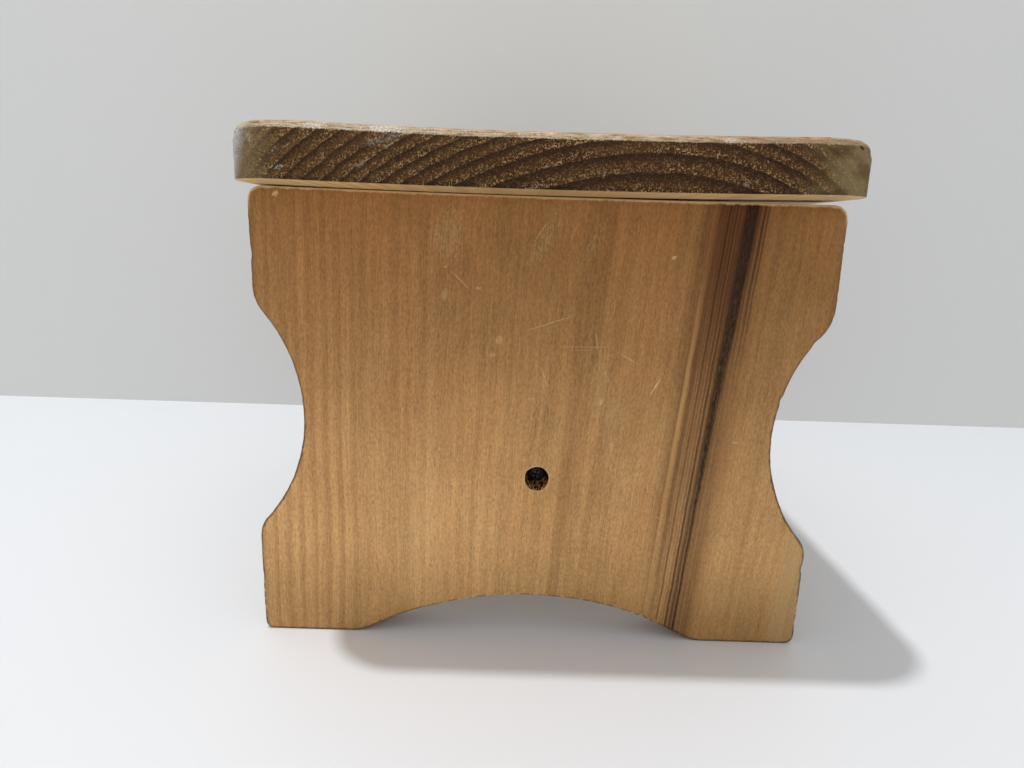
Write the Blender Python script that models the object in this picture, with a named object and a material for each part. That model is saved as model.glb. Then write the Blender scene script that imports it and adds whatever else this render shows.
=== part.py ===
"""Small solid-wood table with a tilting top, built the way the real one is made.

The frame stands on the floor (z = 0).  +X runs across the top towards its free
edge, +Y runs along the top from the front end to the rear end, +Z is up.  Two
scroll-cut end panels carry a stretcher between them and a hinge rail along the
-X side.  The top board turns about the two butt hinges on that rail.
"""

import math

import bmesh
import bpy
from mathutils import Matrix, Vector

# ---------------------------------------------------------------- dimensions
# Lengths in metres.

GAP = 0.0003                  # clearance between pieces that touch

# End panels
PANEL_THICK = 0.019
PANEL_HEIGHT = 0.2066
EAR_HALF_WIDTH = 0.127
FOOT_HALF_WIDTH = 0.1284
WAIST_HALF_WIDTH = 0.1060
WAIST_RADIUS = 0.0752
WAIST_HEIGHT = 0.105
ARCH_HALF_SPAN = 0.0823
ARCH_RISE = 0.022
PANEL_SPACING = 0.246         # clear distance between the two inner faces
PANEL_ARRIS = 0.0007

# Top board
TOP_LENGTH = 0.356
TOP_WIDTH = 0.254
TOP_THICK = 0.0215
TOP_CUP = 0.0017              # how far the long edges have lifted
TOP_CORNER_RADIUS = 0.030
TOP_EDGE_RADIUS = 0.006
TOP_LOWER_ARRIS = 0.0006
TOP_STRIPS = 11               # an odd count keeps the middle strip level

# Stretcher and the screw through each end panel into it
STRETCHER_THICK = 0.022
STRETCHER_DEPTH = 0.050
SCREW_HEIGHT = 0.0807
COUNTERBORE_RADIUS = 0.0048
COUNTERBORE_DEPTH = 0.0095
SCREW_HOLE_RADIUS = 0.0024
SCREW_SHANK_RADIUS = 0.0020
SCREW_HEAD_RADIUS = 0.0041
SCREW_HEAD_HEIGHT = 0.0027
SCREW_LENGTH = 0.034

# Hinge rail and the glue blocks that hold it
RAIL_THICK = 0.019
RAIL_DEPTH = 0.040
RAIL_TOP = 0.2063
RAIL_OUTER_X = -0.1267
BLOCK_SIZE = 0.019
BLOCK_HEIGHT = 0.034

# Butt hinges
HINGE_AXIS_X = -0.1299
HINGE_AXIS_Z = 0.2072
HINGE_LENGTH = 0.050
HINGE_SPACING = 0.140         # from the middle of one hinge to the other
LEAF_WIDTH = 0.016            # measured from the pin's axis
LEAF_THICK = 0.0016
LEAF_LIFT = 0.0009            # from the pin's axis to the leaf's near face
BARREL_RADIUS = 0.0025
PIN_RADIUS = 0.00125
PIN_BORE_RADIUS = 0.00130
KNUCKLES = 5
KNUCKLE_GAP = 0.0003

# Screws in the hinge leaves
LEAF_SCREW_INSET = 0.0095     # from the pin's axis
LEAF_SCREW_SPACING = 0.034
LEAF_SCREW_LENGTH = 0.0125
LEAF_SCREW_SHANK = 0.0014
LEAF_SCREW_HEAD = 0.0029
LEAF_HOLE_RADIUS = 0.0019

PANEL_CENTRE_Y = PANEL_SPACING / 2 + PANEL_THICK / 2
TOP_UNDERSIDE_Z = PANEL_HEIGHT + 0.00035
LEAF_ENDS = (-1, 1)


# ---------------------------------------------------------------- helpers

def clear_file():
    """Remove whatever the new file starts with."""
    for obj in list(bpy.data.objects):
        bpy.data.objects.remove(obj, do_unlink=True)


def principled(name, colour, roughness, metallic=0.0):
    """A plain Principled material."""
    material = bpy.data.materials.new(name)
    material.use_nodes = True
    shader = material.node_tree.nodes["Principled BSDF"]
    shader.inputs["Base Color"].default_value = (*colour, 1.0)
    shader.inputs["Roughness"].default_value = roughness
    shader.inputs["Metallic"].default_value = metallic
    return material


def finish_mesh(bm, name):
    """Turn a bmesh into mesh data with clean, outward faces."""
    bmesh.ops.remove_doubles(bm, verts=bm.verts[:], dist=1e-6)
    bmesh.ops.recalc_face_normals(bm, faces=bm.faces[:])
    mesh = bpy.data.meshes.new(name)
    bm.to_mesh(mesh)
    bm.free()
    return mesh


def add_object(name, mesh, material, location=(0.0, 0.0, 0.0), parent=None):
    """Link one named object that uses the mesh and the material."""
    if not mesh.materials:
        mesh.materials.append(material)
    obj = bpy.data.objects.new(name, mesh)
    bpy.context.scene.collection.objects.link(obj)
    obj.parent = parent
    obj.location = location
    return obj


def add_cutter(name, mesh, location=(0.0, 0.0, 0.0)):
    """Link an object that only cuts others."""
    cutter = bpy.data.objects.new(name, mesh)
    bpy.context.scene.collection.objects.link(cutter)
    cutter.location = location
    cutter.hide_render = True
    cutter.display_type = "WIRE"
    return cutter


def cut(obj, cutter):
    """Cut one object with another, exactly."""
    modifier = obj.modifiers.new("cut_" + cutter.name, "BOOLEAN")
    modifier.operation = "DIFFERENCE"
    modifier.solver = "EXACT"
    modifier.object = cutter


def smooth_round_faces(mesh, degrees=35.0):
    """Smooth shading that keeps real edges crisp."""
    mesh.shade_smooth()
    mesh.set_sharp_from_angle(angle=math.radians(degrees))


def box_bmesh(low, high):
    """A box between two opposite corners."""
    bm = bmesh.new()
    bmesh.ops.create_cube(bm, size=1.0)
    size = [high[i] - low[i] for i in range(3)]
    middle = [(high[i] + low[i]) / 2 for i in range(3)]
    bmesh.ops.scale(bm, vec=size, verts=bm.verts[:])
    bmesh.ops.translate(bm, vec=middle, verts=bm.verts[:])
    return bm


def spin_profile(profile, segments=32):
    """Turn a list of (radius, height) points about the Z axis."""
    bm = bmesh.new()
    verts = [bm.verts.new((radius, 0.0, height)) for radius, height in profile]
    edges = [bm.edges.new(pair) for pair in zip(verts, verts[1:])]
    bmesh.ops.spin(bm, geom=verts + edges, cent=(0, 0, 0), axis=(0, 0, 1),
                   angle=2 * math.pi, steps=segments, use_merge=True)
    bmesh.ops.remove_doubles(bm, verts=bm.verts[:], dist=1e-6)
    bmesh.ops.recalc_face_normals(bm, faces=bm.faces[:])
    return bm


def join_bmesh(target, source):
    """Add a copy of one bmesh's geometry to another."""
    mesh = bpy.data.meshes.new("joining")
    source.to_mesh(mesh)
    source.free()
    target.from_mesh(mesh)
    bpy.data.meshes.remove(mesh)


# ---------------------------------------------------------------- end panels

def point_along(points, distance):
    """The point a given distance along a polyline, and the points after it."""
    travelled = 0.0
    for index in range(len(points) - 1):
        start = Vector(points[index])
        end = Vector(points[index + 1])
        step = (end - start).length
        if travelled + step > distance:
            place = start.lerp(end, (distance - travelled) / step)
            return place, points[index + 1:]
        travelled += step
    return Vector(points[-1]), []


def eased_join(before, after, distance, steps=5):
    """Join two polylines that share an end point with a soft corner."""
    corner = Vector(after[0])
    start, kept_before = point_along(before[::-1], distance)
    end, kept_after = point_along(after, distance)
    curve = []
    for index in range(steps + 1):
        t = index / steps
        point = start * (1 - t) ** 2 + corner * 2 * t * (1 - t) + end * t ** 2
        curve.append(tuple(point))
    return kept_before[::-1] + curve + kept_after


def panel_half_outline():
    """Right half of the end panel as (x, z), from the top's middle round to the arch's crown."""
    centre_x = WAIST_HALF_WIDTH + WAIST_RADIUS
    upper = math.asin(math.sqrt(WAIST_RADIUS ** 2 - (centre_x - EAR_HALF_WIDTH) ** 2) / WAIST_RADIUS)
    lower = math.asin(math.sqrt(WAIST_RADIUS ** 2 - (centre_x - FOOT_HALF_WIDTH) ** 2) / WAIST_RADIUS)
    steps = 20
    waist = []
    for index in range(steps + 1):
        angle = upper - (upper + lower) * index / steps
        x = centre_x - WAIST_RADIUS * math.cos(angle)
        z = WAIST_HEIGHT + WAIST_RADIUS * math.sin(angle)
        waist.append((x, z))
    arch_radius = (ARCH_HALF_SPAN ** 2 + ARCH_RISE ** 2) / (2 * ARCH_RISE)
    arch = []
    for index in range(13):
        x = ARCH_HALF_SPAN * (1 - index / 12)
        z = ARCH_RISE - arch_radius + math.sqrt(arch_radius ** 2 - x ** 2)
        arch.append((x, max(z, 0.0)))
    top_edge = [(0.0, PANEL_HEIGHT), (EAR_HALF_WIDTH, PANEL_HEIGHT)]
    ear_side = [(EAR_HALF_WIDTH, PANEL_HEIGHT), waist[0]]
    foot_side = [waist[-1], (FOOT_HALF_WIDTH, 0.0)]
    sole = [(FOOT_HALF_WIDTH, 0.0), (ARCH_HALF_SPAN, 0.0)]
    outline = eased_join(top_edge, ear_side, 0.0065)
    outline = eased_join(outline, waist, 0.006)
    outline = eased_join(outline, foot_side, 0.006)
    outline = eased_join(outline, sole, 0.004)
    return eased_join(outline, arch, 0.005)


def panel_mesh():
    """The scroll-cut end panel, centred on its own thickness."""
    right = panel_half_outline()
    left = [(-x, z) for x, z in right[-2:0:-1]]
    bm = bmesh.new()
    verts = [bm.verts.new((x, -PANEL_THICK / 2, z)) for x, z in right + left]
    face = bm.faces.new(verts)
    grown = bmesh.ops.extrude_face_region(bm, geom=[face])
    moved = [item for item in grown["geom"] if isinstance(item, bmesh.types.BMVert)]
    bmesh.ops.translate(bm, vec=(0.0, PANEL_THICK, 0.0), verts=moved)
    rims = [edge for edge in bm.edges if abs(edge.verts[0].co.y - edge.verts[1].co.y) < 1e-6]
    bmesh.ops.bevel(bm, geom=rims, offset=PANEL_ARRIS, offset_type="OFFSET", segments=1,
                    profile=0.5, affect="EDGES", material=-1)
    mesh = finish_mesh(bm, "end_panel")
    smooth_round_faces(mesh)
    return mesh


def panel_screw_cutter():
    """Counterbore and clearance hole, entered from the outer face at y = 0 and running +Y."""
    profile = [
        (0.0, -0.002),
        (COUNTERBORE_RADIUS, -0.002),
        (COUNTERBORE_RADIUS, COUNTERBORE_DEPTH),
        (SCREW_HOLE_RADIUS, COUNTERBORE_DEPTH),
        (SCREW_HOLE_RADIUS, PANEL_THICK + 0.002),
        (0.0, PANEL_THICK + 0.002),
    ]
    bm = spin_profile(profile, 40)
    bmesh.ops.rotate(bm, cent=(0, 0, 0), matrix=Matrix.Rotation(-math.pi / 2, 3, "X"), verts=bm.verts[:])
    return finish_mesh(bm, "panel_screw_cutter")


def build_end_panels(wood):
    """Front and rear panels, each bored from its own outer face."""
    mesh = panel_mesh()
    cutter_mesh = panel_screw_cutter()
    for name, side in (("front", -1), ("rear", 1)):
        panel = add_object(name + "_end_panel", mesh, wood, (0.0, side * PANEL_CENTRE_Y, 0.0))
        outer_face = side * (PANEL_CENTRE_Y + PANEL_THICK / 2)
        cutter = add_cutter(name + "_panel_hole", cutter_mesh, (0.0, outer_face, SCREW_HEIGHT))
        if side > 0:
            cutter.rotation_euler = (0.0, 0.0, math.pi)
        cut(panel, cutter)


# ---------------------------------------------------------------- stretcher

def build_stretcher(wood):
    """The rail between the panels, with a pilot hole in each end."""
    half_length = PANEL_SPACING / 2 - GAP
    bm = box_bmesh((-STRETCHER_THICK / 2, -half_length, SCREW_HEIGHT - STRETCHER_DEPTH / 2),
                   (STRETCHER_THICK / 2, half_length, SCREW_HEIGHT + STRETCHER_DEPTH / 2))
    long_edges = [edge for edge in bm.edges if abs(edge.verts[0].co.y - edge.verts[1].co.y) > 0.01]
    bmesh.ops.bevel(bm, geom=long_edges, offset=0.0015, offset_type="OFFSET", segments=2,
                    profile=0.5, affect="EDGES", material=-1)
    stretcher = add_object("stretcher", finish_mesh(bm, "stretcher"), wood)
    depth = SCREW_LENGTH - PANEL_THICK + COUNTERBORE_DEPTH + 0.002
    profile = [(0.0, -0.001), (SCREW_HOLE_RADIUS, -0.001), (SCREW_HOLE_RADIUS, depth), (0.0, depth + 0.001)]
    for name, side in (("front", -1), ("rear", 1)):
        bm = spin_profile(profile, 32)
        turn = Matrix.Rotation(side * math.pi / 2, 3, "X")
        bmesh.ops.rotate(bm, cent=(0, 0, 0), matrix=turn, verts=bm.verts[:])
        mesh = finish_mesh(bm, name + "_pilot")
        cutter = add_cutter(name + "_pilot", mesh, (0.0, side * half_length, SCREW_HEIGHT))
        cut(stretcher, cutter)


def stretcher_screw_mesh():
    """Round-head wood screw, head seat at z = 0, point along +Z, with a crossed recess."""
    head = SCREW_HEAD_HEIGHT
    tip = SCREW_LENGTH
    profile = [
        (0.0, -head),
        (SCREW_HEAD_RADIUS * 0.45, -head * 0.94),
        (SCREW_HEAD_RADIUS * 0.80, -head * 0.68),
        (SCREW_HEAD_RADIUS, -head * 0.30),
        (SCREW_HEAD_RADIUS, 0.0),
        (SCREW_SHANK_RADIUS, 0.0),
        (SCREW_SHANK_RADIUS, tip - 0.005),
        (0.0, tip),
    ]
    mesh = finish_mesh(spin_profile(profile, 32), "stretcher_screw")
    smooth_round_faces(mesh)
    return mesh


def cross_cutter_mesh():
    """The crossed recess of the driver."""
    long_side = 0.0023
    short_side = 0.0005
    bm = box_bmesh((-long_side, -short_side, -0.004), (long_side, short_side, -0.0010))
    join_bmesh(bm, box_bmesh((-short_side, -long_side, -0.004), (short_side, long_side, -0.0010)))
    mesh = bpy.data.meshes.new("driver_cross")
    bmesh.ops.recalc_face_normals(bm, faces=bm.faces[:])
    bm.to_mesh(mesh)
    bm.free()
    return mesh


def build_stretcher_screws(steel):
    """One screw through each panel, its head at the bottom of the counterbore."""
    mesh = stretcher_screw_mesh()
    cross = cross_cutter_mesh()
    for name, side in (("front", -1), ("rear", 1)):
        seat_y = side * (PANEL_CENTRE_Y + PANEL_THICK / 2 - COUNTERBORE_DEPTH + GAP)
        place = (0.0, seat_y, SCREW_HEIGHT)
        screw = add_object(name + "_stretcher_screw", mesh, steel, place)
        screw.rotation_euler = (side * math.pi / 2, math.radians(12.0), 0.0)
        cutter = add_cutter(name + "_driver_cross", cross, place)
        cutter.rotation_euler = screw.rotation_euler
        modifier = screw.modifiers.new("driver_cross", "BOOLEAN")
        modifier.operation = "DIFFERENCE"
        modifier.solver = "EXACT"
        modifier.use_self = True
        modifier.object = cutter


# ---------------------------------------------------------------- hinge rail

def hinge_centres():
    """Name and middle of each hinge along Y."""
    return (("front", -HINGE_SPACING / 2), ("rear", HINGE_SPACING / 2))


def screw_places(centre_y):
    """(label, x, y) of each screw in one leaf."""
    x = HINGE_AXIS_X + LEAF_SCREW_INSET
    return [(str(index + 1), x, centre_y + end * LEAF_SCREW_SPACING / 2) for index, end in enumerate(LEAF_ENDS)]


def leaf_mortise(name, centre_y, low_z, high_z):
    """Cutter for the recess that a leaf lies in."""
    half = HINGE_LENGTH / 2 + GAP
    bm = box_bmesh((HINGE_AXIS_X - 0.004, centre_y - half, low_z),
                   (HINGE_AXIS_X + LEAF_WIDTH + GAP, centre_y + half, high_z))
    return add_cutter(name, finish_mesh(bm, name))


def pilot_hole(name, x, y, low_z, high_z):
    """Cutter for a leaf screw's hole in the wood."""
    radius = LEAF_SCREW_SHANK + GAP
    bm = spin_profile([(0.0, low_z), (radius, low_z), (radius, high_z), (0.0, high_z)], 20)
    bmesh.ops.translate(bm, vec=(x, y, 0.0), verts=bm.verts[:])
    return add_cutter(name, finish_mesh(bm, name))


def build_hinge_rail(wood):
    """The rail along the -X side, let in for the fixed leaves."""
    half_length = PANEL_SPACING / 2 - GAP
    bm = box_bmesh((RAIL_OUTER_X, -half_length, RAIL_TOP - RAIL_DEPTH),
                   (RAIL_OUTER_X + RAIL_THICK, half_length, RAIL_TOP))
    lower_edges = [edge for edge in bm.edges
                   if max(vert.co.z for vert in edge.verts) < RAIL_TOP - 0.01
                   and abs(edge.verts[0].co.y - edge.verts[1].co.y) > 0.01]
    bmesh.ops.bevel(bm, geom=lower_edges, offset=0.0015, offset_type="OFFSET", segments=2,
                    profile=0.5, affect="EDGES", material=-1)
    rail = add_object("hinge_rail", finish_mesh(bm, "hinge_rail"), wood)
    floor_z = HINGE_AXIS_Z - LEAF_LIFT - LEAF_THICK - GAP
    for name, centre_y in hinge_centres():
        cut(rail, leaf_mortise("rail_mortise_" + name, centre_y, floor_z, RAIL_TOP + 0.002))
        for label, x, y in screw_places(centre_y):
            hole = pilot_hole("rail_hole_" + name + label, x, y, floor_z - 0.0125, floor_z + 0.001)
            cut(rail, hole)


def build_glue_blocks(wood):
    """A block in each inner corner between rail and panel."""
    x = RAIL_OUTER_X + RAIL_THICK + GAP
    top = RAIL_TOP - 0.003
    for name, side in (("front", -1), ("rear", 1)):
        far = side * (PANEL_SPACING / 2 - GAP)
        near = side * (PANEL_SPACING / 2 - GAP - BLOCK_SIZE)
        bm = box_bmesh((x, min(far, near), top - BLOCK_HEIGHT), (x + BLOCK_SIZE, max(far, near), top))
        free_edge = [edge for edge in bm.edges
                     if all(abs(vert.co.x - x - BLOCK_SIZE) < 1e-6 and abs(vert.co.y - near) < 1e-6
                            for vert in edge.verts)]
        bmesh.ops.bevel(bm, geom=free_edge, offset=0.004, offset_type="OFFSET", segments=1,
                        profile=0.5, affect="EDGES", material=-1)
        add_object(name + "_glue_block", finish_mesh(bm, name + "_glue_block"), wood)


# ---------------------------------------------------------------- hinges

def knuckle_spans():
    """(start, end) of every knuckle along Y, about the hinge's middle."""
    pitch = HINGE_LENGTH / KNUCKLES
    spans = []
    for index in range(KNUCKLES):
        start = -HINGE_LENGTH / 2 + index * pitch
        spans.append((start + KNUCKLE_GAP / 2, start + pitch - KNUCKLE_GAP / 2))
    return spans


def leaf_outline(own):
    """Plan of one leaf as (x, y): the plate reaches the barrel only at its own knuckles."""
    clear = BARREL_RADIUS + KNUCKLE_GAP
    points = [(LEAF_WIDTH, -HINGE_LENGTH / 2)]
    for index, (start, end) in enumerate(knuckle_spans()):
        near = 0.0 if index in own else clear
        first = -HINGE_LENGTH / 2 if index == 0 else start
        last = HINGE_LENGTH / 2 if index == KNUCKLES - 1 else end
        if index not in own and index > 0:
            first = start - KNUCKLE_GAP
        if index not in own and index < KNUCKLES - 1:
            last = end + KNUCKLE_GAP
        points += [(near, first), (near, last)]
    points.append((LEAF_WIDTH, HINGE_LENGTH / 2))
    return points


def leaf_mesh(name, own, side):
    """Leaf plate with its knuckles; side is -1 for the leaf below the axis, +1 for the one above."""
    low = LEAF_LIFT * side
    high = (LEAF_LIFT + LEAF_THICK) * side
    bm = bmesh.new()
    verts = [bm.verts.new((x, y, min(low, high))) for x, y in leaf_outline(own)]
    face = bm.faces.new(verts)
    grown = bmesh.ops.extrude_face_region(bm, geom=[face])
    moved = [item for item in grown["geom"] if isinstance(item, bmesh.types.BMVert)]
    bmesh.ops.translate(bm, vec=(0.0, 0.0, LEAF_THICK), verts=moved)
    return finish_mesh(bm, name)


def barrel_mesh(name, own):
    """The knuckles of one leaf, as solid rods on the Y axis."""
    bm = bmesh.new()
    for index, (start, end) in enumerate(knuckle_spans()):
        if index in own:
            rod = spin_profile([(0.0, start), (BARREL_RADIUS, start), (BARREL_RADIUS, end), (0.0, end)], 32)
            bmesh.ops.rotate(rod, cent=(0, 0, 0), matrix=Matrix.Rotation(-math.pi / 2, 3, "X"),
                             verts=rod.verts[:])
            join_bmesh(bm, rod)
    return finish_mesh(bm, name)


def pin_bore_mesh():
    """The hole for the pin, right through every knuckle."""
    reach = HINGE_LENGTH / 2 + 0.002
    bm = spin_profile([(0.0, -reach), (PIN_BORE_RADIUS, -reach), (PIN_BORE_RADIUS, reach), (0.0, reach)], 32)
    bmesh.ops.rotate(bm, cent=(0, 0, 0), matrix=Matrix.Rotation(math.pi / 2, 3, "X"), verts=bm.verts[:])
    return finish_mesh(bm, "pin_bore")


def leaf_hole_mesh(side):
    """Countersunk hole; the wide end is at the leaf's near face."""
    near = LEAF_LIFT * side
    far = (LEAF_LIFT + LEAF_THICK) * side
    reach = 0.001 * side
    wide = LEAF_SCREW_HEAD + GAP
    profile = [(0.0, near - reach), (wide, near - reach), (wide, near), (LEAF_HOLE_RADIUS, far - 0.0003 * side),
               (LEAF_HOLE_RADIUS, far + reach), (0.0, far + reach)]
    return finish_mesh(spin_profile(profile, 28), "leaf_hole")


def pin_mesh():
    """Hinge pin with a small domed cap outside each end knuckle."""
    half = HINGE_LENGTH / 2 + GAP
    cap = 0.0021
    profile = [
        (0.0, -half - 0.0014),
        (cap * 0.7, -half - 0.0011),
        (cap, -half - 0.0004),
        (cap, -half),
        (PIN_RADIUS, -half),
        (PIN_RADIUS, half),
        (cap, half),
        (cap, half + 0.0004),
        (cap * 0.7, half + 0.0011),
        (0.0, half + 0.0014),
    ]
    bm = spin_profile(profile, 32)
    bmesh.ops.rotate(bm, cent=(0, 0, 0), matrix=Matrix.Rotation(math.pi / 2, 3, "X"), verts=bm.verts[:])
    mesh = finish_mesh(bm, "hinge_pin")
    smooth_round_faces(mesh)
    return mesh


def leaf_screw_mesh():
    """Countersunk screw; the head's flat face is at z = 0 and the point is along +Z."""
    profile = [
        (0.0, 0.0),
        (LEAF_SCREW_HEAD, 0.0),
        (LEAF_SCREW_SHANK, 0.0014),
        (LEAF_SCREW_SHANK, LEAF_SCREW_LENGTH - 0.003),
        (0.0, LEAF_SCREW_LENGTH),
    ]
    bm = spin_profile(profile, 28)
    mesh = finish_mesh(bm, "leaf_screw")
    smooth_round_faces(mesh)
    return mesh


def build_leaf(name, own, side, parts, brass, location):
    """One hinge leaf, plate and knuckles fused, bored for the pin and the screws."""
    leaf = add_object(name, leaf_mesh(name, own, side), brass, location)
    barrel = add_cutter(name + "_barrel", barrel_mesh(name + "_barrel", own), location)
    joined = leaf.modifiers.new("knuckles", "BOOLEAN")
    joined.operation = "UNION"
    joined.solver = "EXACT"
    joined.object = barrel
    cut(leaf, add_cutter(name + "_bore", parts["bore"], location))
    hole = parts["low_hole"] if side < 0 else parts["high_hole"]
    for index, end in enumerate(LEAF_ENDS):
        place = (location[0] + LEAF_SCREW_INSET, location[1] + end * LEAF_SCREW_SPACING / 2, location[2])
        cut(leaf, add_cutter(f"{name}_hole{index + 1}", hole, place))
    return leaf


def build_hinges(brass):
    """Two butt hinges: fixed leaf below, moving leaf above, and a pin through both."""
    pin = pin_mesh()
    screw = leaf_screw_mesh()
    parts = {"bore": pin_bore_mesh(), "low_hole": leaf_hole_mesh(-1), "high_hole": leaf_hole_mesh(1)}
    for name, centre_y in hinge_centres():
        place = (HINGE_AXIS_X, centre_y, HINGE_AXIS_Z)
        build_leaf(name + "_fixed_leaf", (0, 2, 4), -1, parts, brass, place)
        build_leaf(name + "_moving_leaf", (1, 3), 1, parts, brass, place)
        add_object(name + "_hinge_pin", pin, brass, place)
        for label, x, y in screw_places(centre_y):
            low_screw = add_object(f"{name}_rail_screw_{label}", screw, brass, (x, y, HINGE_AXIS_Z - LEAF_LIFT))
            low_screw.rotation_euler = (math.pi, 0.0, 0.0)
            add_object(f"{name}_top_screw_{label}", screw, brass, (x, y, HINGE_AXIS_Z + LEAF_LIFT))


# ---------------------------------------------------------------- top board

def top_plan():
    """Rounded rectangle of the top as (x, y), counter-clockwise."""
    half_x = TOP_WIDTH / 2 - TOP_CORNER_RADIUS
    half_y = TOP_LENGTH / 2 - TOP_CORNER_RADIUS
    points = []
    for quarter, (sign_x, sign_y) in enumerate(((1, 1), (-1, 1), (-1, -1), (1, -1))):
        for index in range(9):
            angle = math.radians(90 * quarter + 90 * index / 8)
            x = sign_x * half_x + TOP_CORNER_RADIUS * math.cos(angle)
            y = sign_y * half_y + TOP_CORNER_RADIUS * math.sin(angle)
            points.append((x, y))
    return points


def cup_lift(x):
    """How far the cupped board has risen at a distance x from its middle."""
    return TOP_CUP * (2 * x / TOP_WIDTH) ** 2


def top_board_mesh():
    """The top: rounded in plan, rounded over above, nearly sharp below, cupped across its width."""
    bm = bmesh.new()
    face = bm.faces.new([bm.verts.new((x, y, 0.0)) for x, y in top_plan()])
    grown = bmesh.ops.extrude_face_region(bm, geom=[face])
    moved = [item for item in grown["geom"] if isinstance(item, bmesh.types.BMVert)]
    bmesh.ops.translate(bm, vec=(0.0, 0.0, TOP_THICK), verts=moved)
    upper = [edge for edge in bm.edges if min(vert.co.z for vert in edge.verts) > TOP_THICK / 2]
    bmesh.ops.bevel(bm, geom=upper, offset=TOP_EDGE_RADIUS, offset_type="OFFSET", segments=4,
                    profile=0.5, affect="EDGES", material=-1)
    lower = [edge for edge in bm.edges if max(vert.co.z for vert in edge.verts) < 1e-6]
    bmesh.ops.bevel(bm, geom=lower, offset=TOP_LOWER_ARRIS, offset_type="OFFSET", segments=1,
                    profile=0.5, affect="EDGES", material=-1)
    for index in range(1, TOP_STRIPS):
        x = TOP_WIDTH * (index / TOP_STRIPS - 0.5)
        geom = bm.verts[:] + bm.edges[:] + bm.faces[:]
        bmesh.ops.bisect_plane(bm, geom=geom, dist=1e-6, plane_co=(x, 0, 0), plane_no=(1, 0, 0))
    for vert in bm.verts:
        vert.co.z += cup_lift(vert.co.x)
    mesh = finish_mesh(bm, "top_board")
    smooth_round_faces(mesh)
    return mesh


def build_top_board(wood):
    """The top on its hinge line, let in below for the moving leaves."""
    pivot = bpy.data.objects.new("tilt_axis", None)
    bpy.context.scene.collection.objects.link(pivot)
    pivot.location = (HINGE_AXIS_X, 0.0, HINGE_AXIS_Z)
    place = (-HINGE_AXIS_X, 0.0, TOP_UNDERSIDE_Z - HINGE_AXIS_Z)
    top = add_object("top_board", top_board_mesh(), wood, place, pivot)
    ceiling_z = HINGE_AXIS_Z + LEAF_LIFT + LEAF_THICK + GAP
    for name, centre_y in hinge_centres():
        cut(top, leaf_mortise("top_mortise_" + name, centre_y, TOP_UNDERSIDE_Z - 0.002, ceiling_z))
        for label, x, y in screw_places(centre_y):
            hole = pilot_hole("top_hole_" + name + label, x, y, ceiling_z - 0.001, ceiling_z + 0.0125)
            cut(top, hole)


# ---------------------------------------------------------------- assembly

def build():
    """Make every piece."""
    clear_file()
    panel_wood = principled("panel_wood", (0.36, 0.20, 0.085), 0.55)
    top_wood = principled("top_wood", (0.20, 0.115, 0.055), 0.60)
    frame_wood = principled("frame_wood", (0.42, 0.26, 0.12), 0.60)
    brass = principled("hinge_brass", (0.62, 0.45, 0.17), 0.35, 1.0)
    steel = principled("screw_steel", (0.45, 0.44, 0.42), 0.38, 1.0)
    build_end_panels(panel_wood)
    build_stretcher(frame_wood)
    build_stretcher_screws(steel)
    build_hinge_rail(frame_wood)
    build_glue_blocks(frame_wood)
    build_hinges(brass)
    build_top_board(top_wood)


build()
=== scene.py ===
# %% [markdown]
# # A small tilt top table in worn wood
#
# The real table is made of two scroll-cut end panels, a stretcher, a hinge rail
# and one cupped board for a top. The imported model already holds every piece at
# its real size. This lesson keeps the hardware, rebuilds the boards with their
# hand-cut edges, and gives each surface a finish made of nodes.

import math

import bmesh
import bpy
from mathutils import Matrix, Vector, noise


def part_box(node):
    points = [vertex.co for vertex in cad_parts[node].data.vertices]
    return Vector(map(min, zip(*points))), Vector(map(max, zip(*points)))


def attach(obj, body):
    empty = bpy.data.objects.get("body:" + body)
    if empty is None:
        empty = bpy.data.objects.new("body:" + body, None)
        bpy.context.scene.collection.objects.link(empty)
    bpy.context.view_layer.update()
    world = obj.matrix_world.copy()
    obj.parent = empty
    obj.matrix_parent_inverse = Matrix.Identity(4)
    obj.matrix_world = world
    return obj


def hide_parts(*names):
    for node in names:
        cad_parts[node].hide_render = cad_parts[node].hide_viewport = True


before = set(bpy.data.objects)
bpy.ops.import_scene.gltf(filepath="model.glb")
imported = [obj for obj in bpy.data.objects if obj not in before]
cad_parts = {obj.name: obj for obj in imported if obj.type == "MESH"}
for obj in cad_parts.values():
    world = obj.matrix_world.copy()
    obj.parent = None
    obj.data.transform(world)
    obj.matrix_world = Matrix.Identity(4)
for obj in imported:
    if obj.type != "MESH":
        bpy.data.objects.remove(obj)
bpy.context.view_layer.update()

MM = 0.001

# %% [markdown]
# ## Where the viewer stands
#
# The table is seen square to its front end, from close by, a little below the
# height of the top. A short lens this near makes the top's underside show. The
# camera is tipped down and slightly rolled, as a hand-held one is.

# %% Camera
panel_low, panel_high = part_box("front_end_panel")
FRONT_Y = panel_low.y

CAMERA_OFFSET_MM = (-13.8, -295.5, 190.75)
CAMERA_TILT = 12.52
CAMERA_YAW = 0.20
CAMERA_ROLL = 1.875
LENS_MM = 23.83


def add_camera():
    """Place the camera in front of the front panel."""
    data = bpy.data.cameras.new("camera")
    data.sensor_width = 36.0
    data.lens = LENS_MM
    data.clip_start = 0.01
    camera = bpy.data.objects.new("camera", data)
    bpy.context.scene.collection.objects.link(camera)
    x, y, z = (value * MM for value in CAMERA_OFFSET_MM)
    turn = (Matrix.Rotation(math.radians(-CAMERA_YAW), 4, "Z")
            @ Matrix.Rotation(math.radians(90.0 - CAMERA_TILT), 4, "X")
            @ Matrix.Rotation(math.radians(CAMERA_ROLL), 4, "Z"))
    camera.matrix_world = Matrix.Translation((x, FRONT_Y + y, z)) @ turn
    bpy.context.scene.camera = camera
    return camera


camera = add_camera()
print("camera at", tuple(round(value, 4) for value in camera.location))

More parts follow.
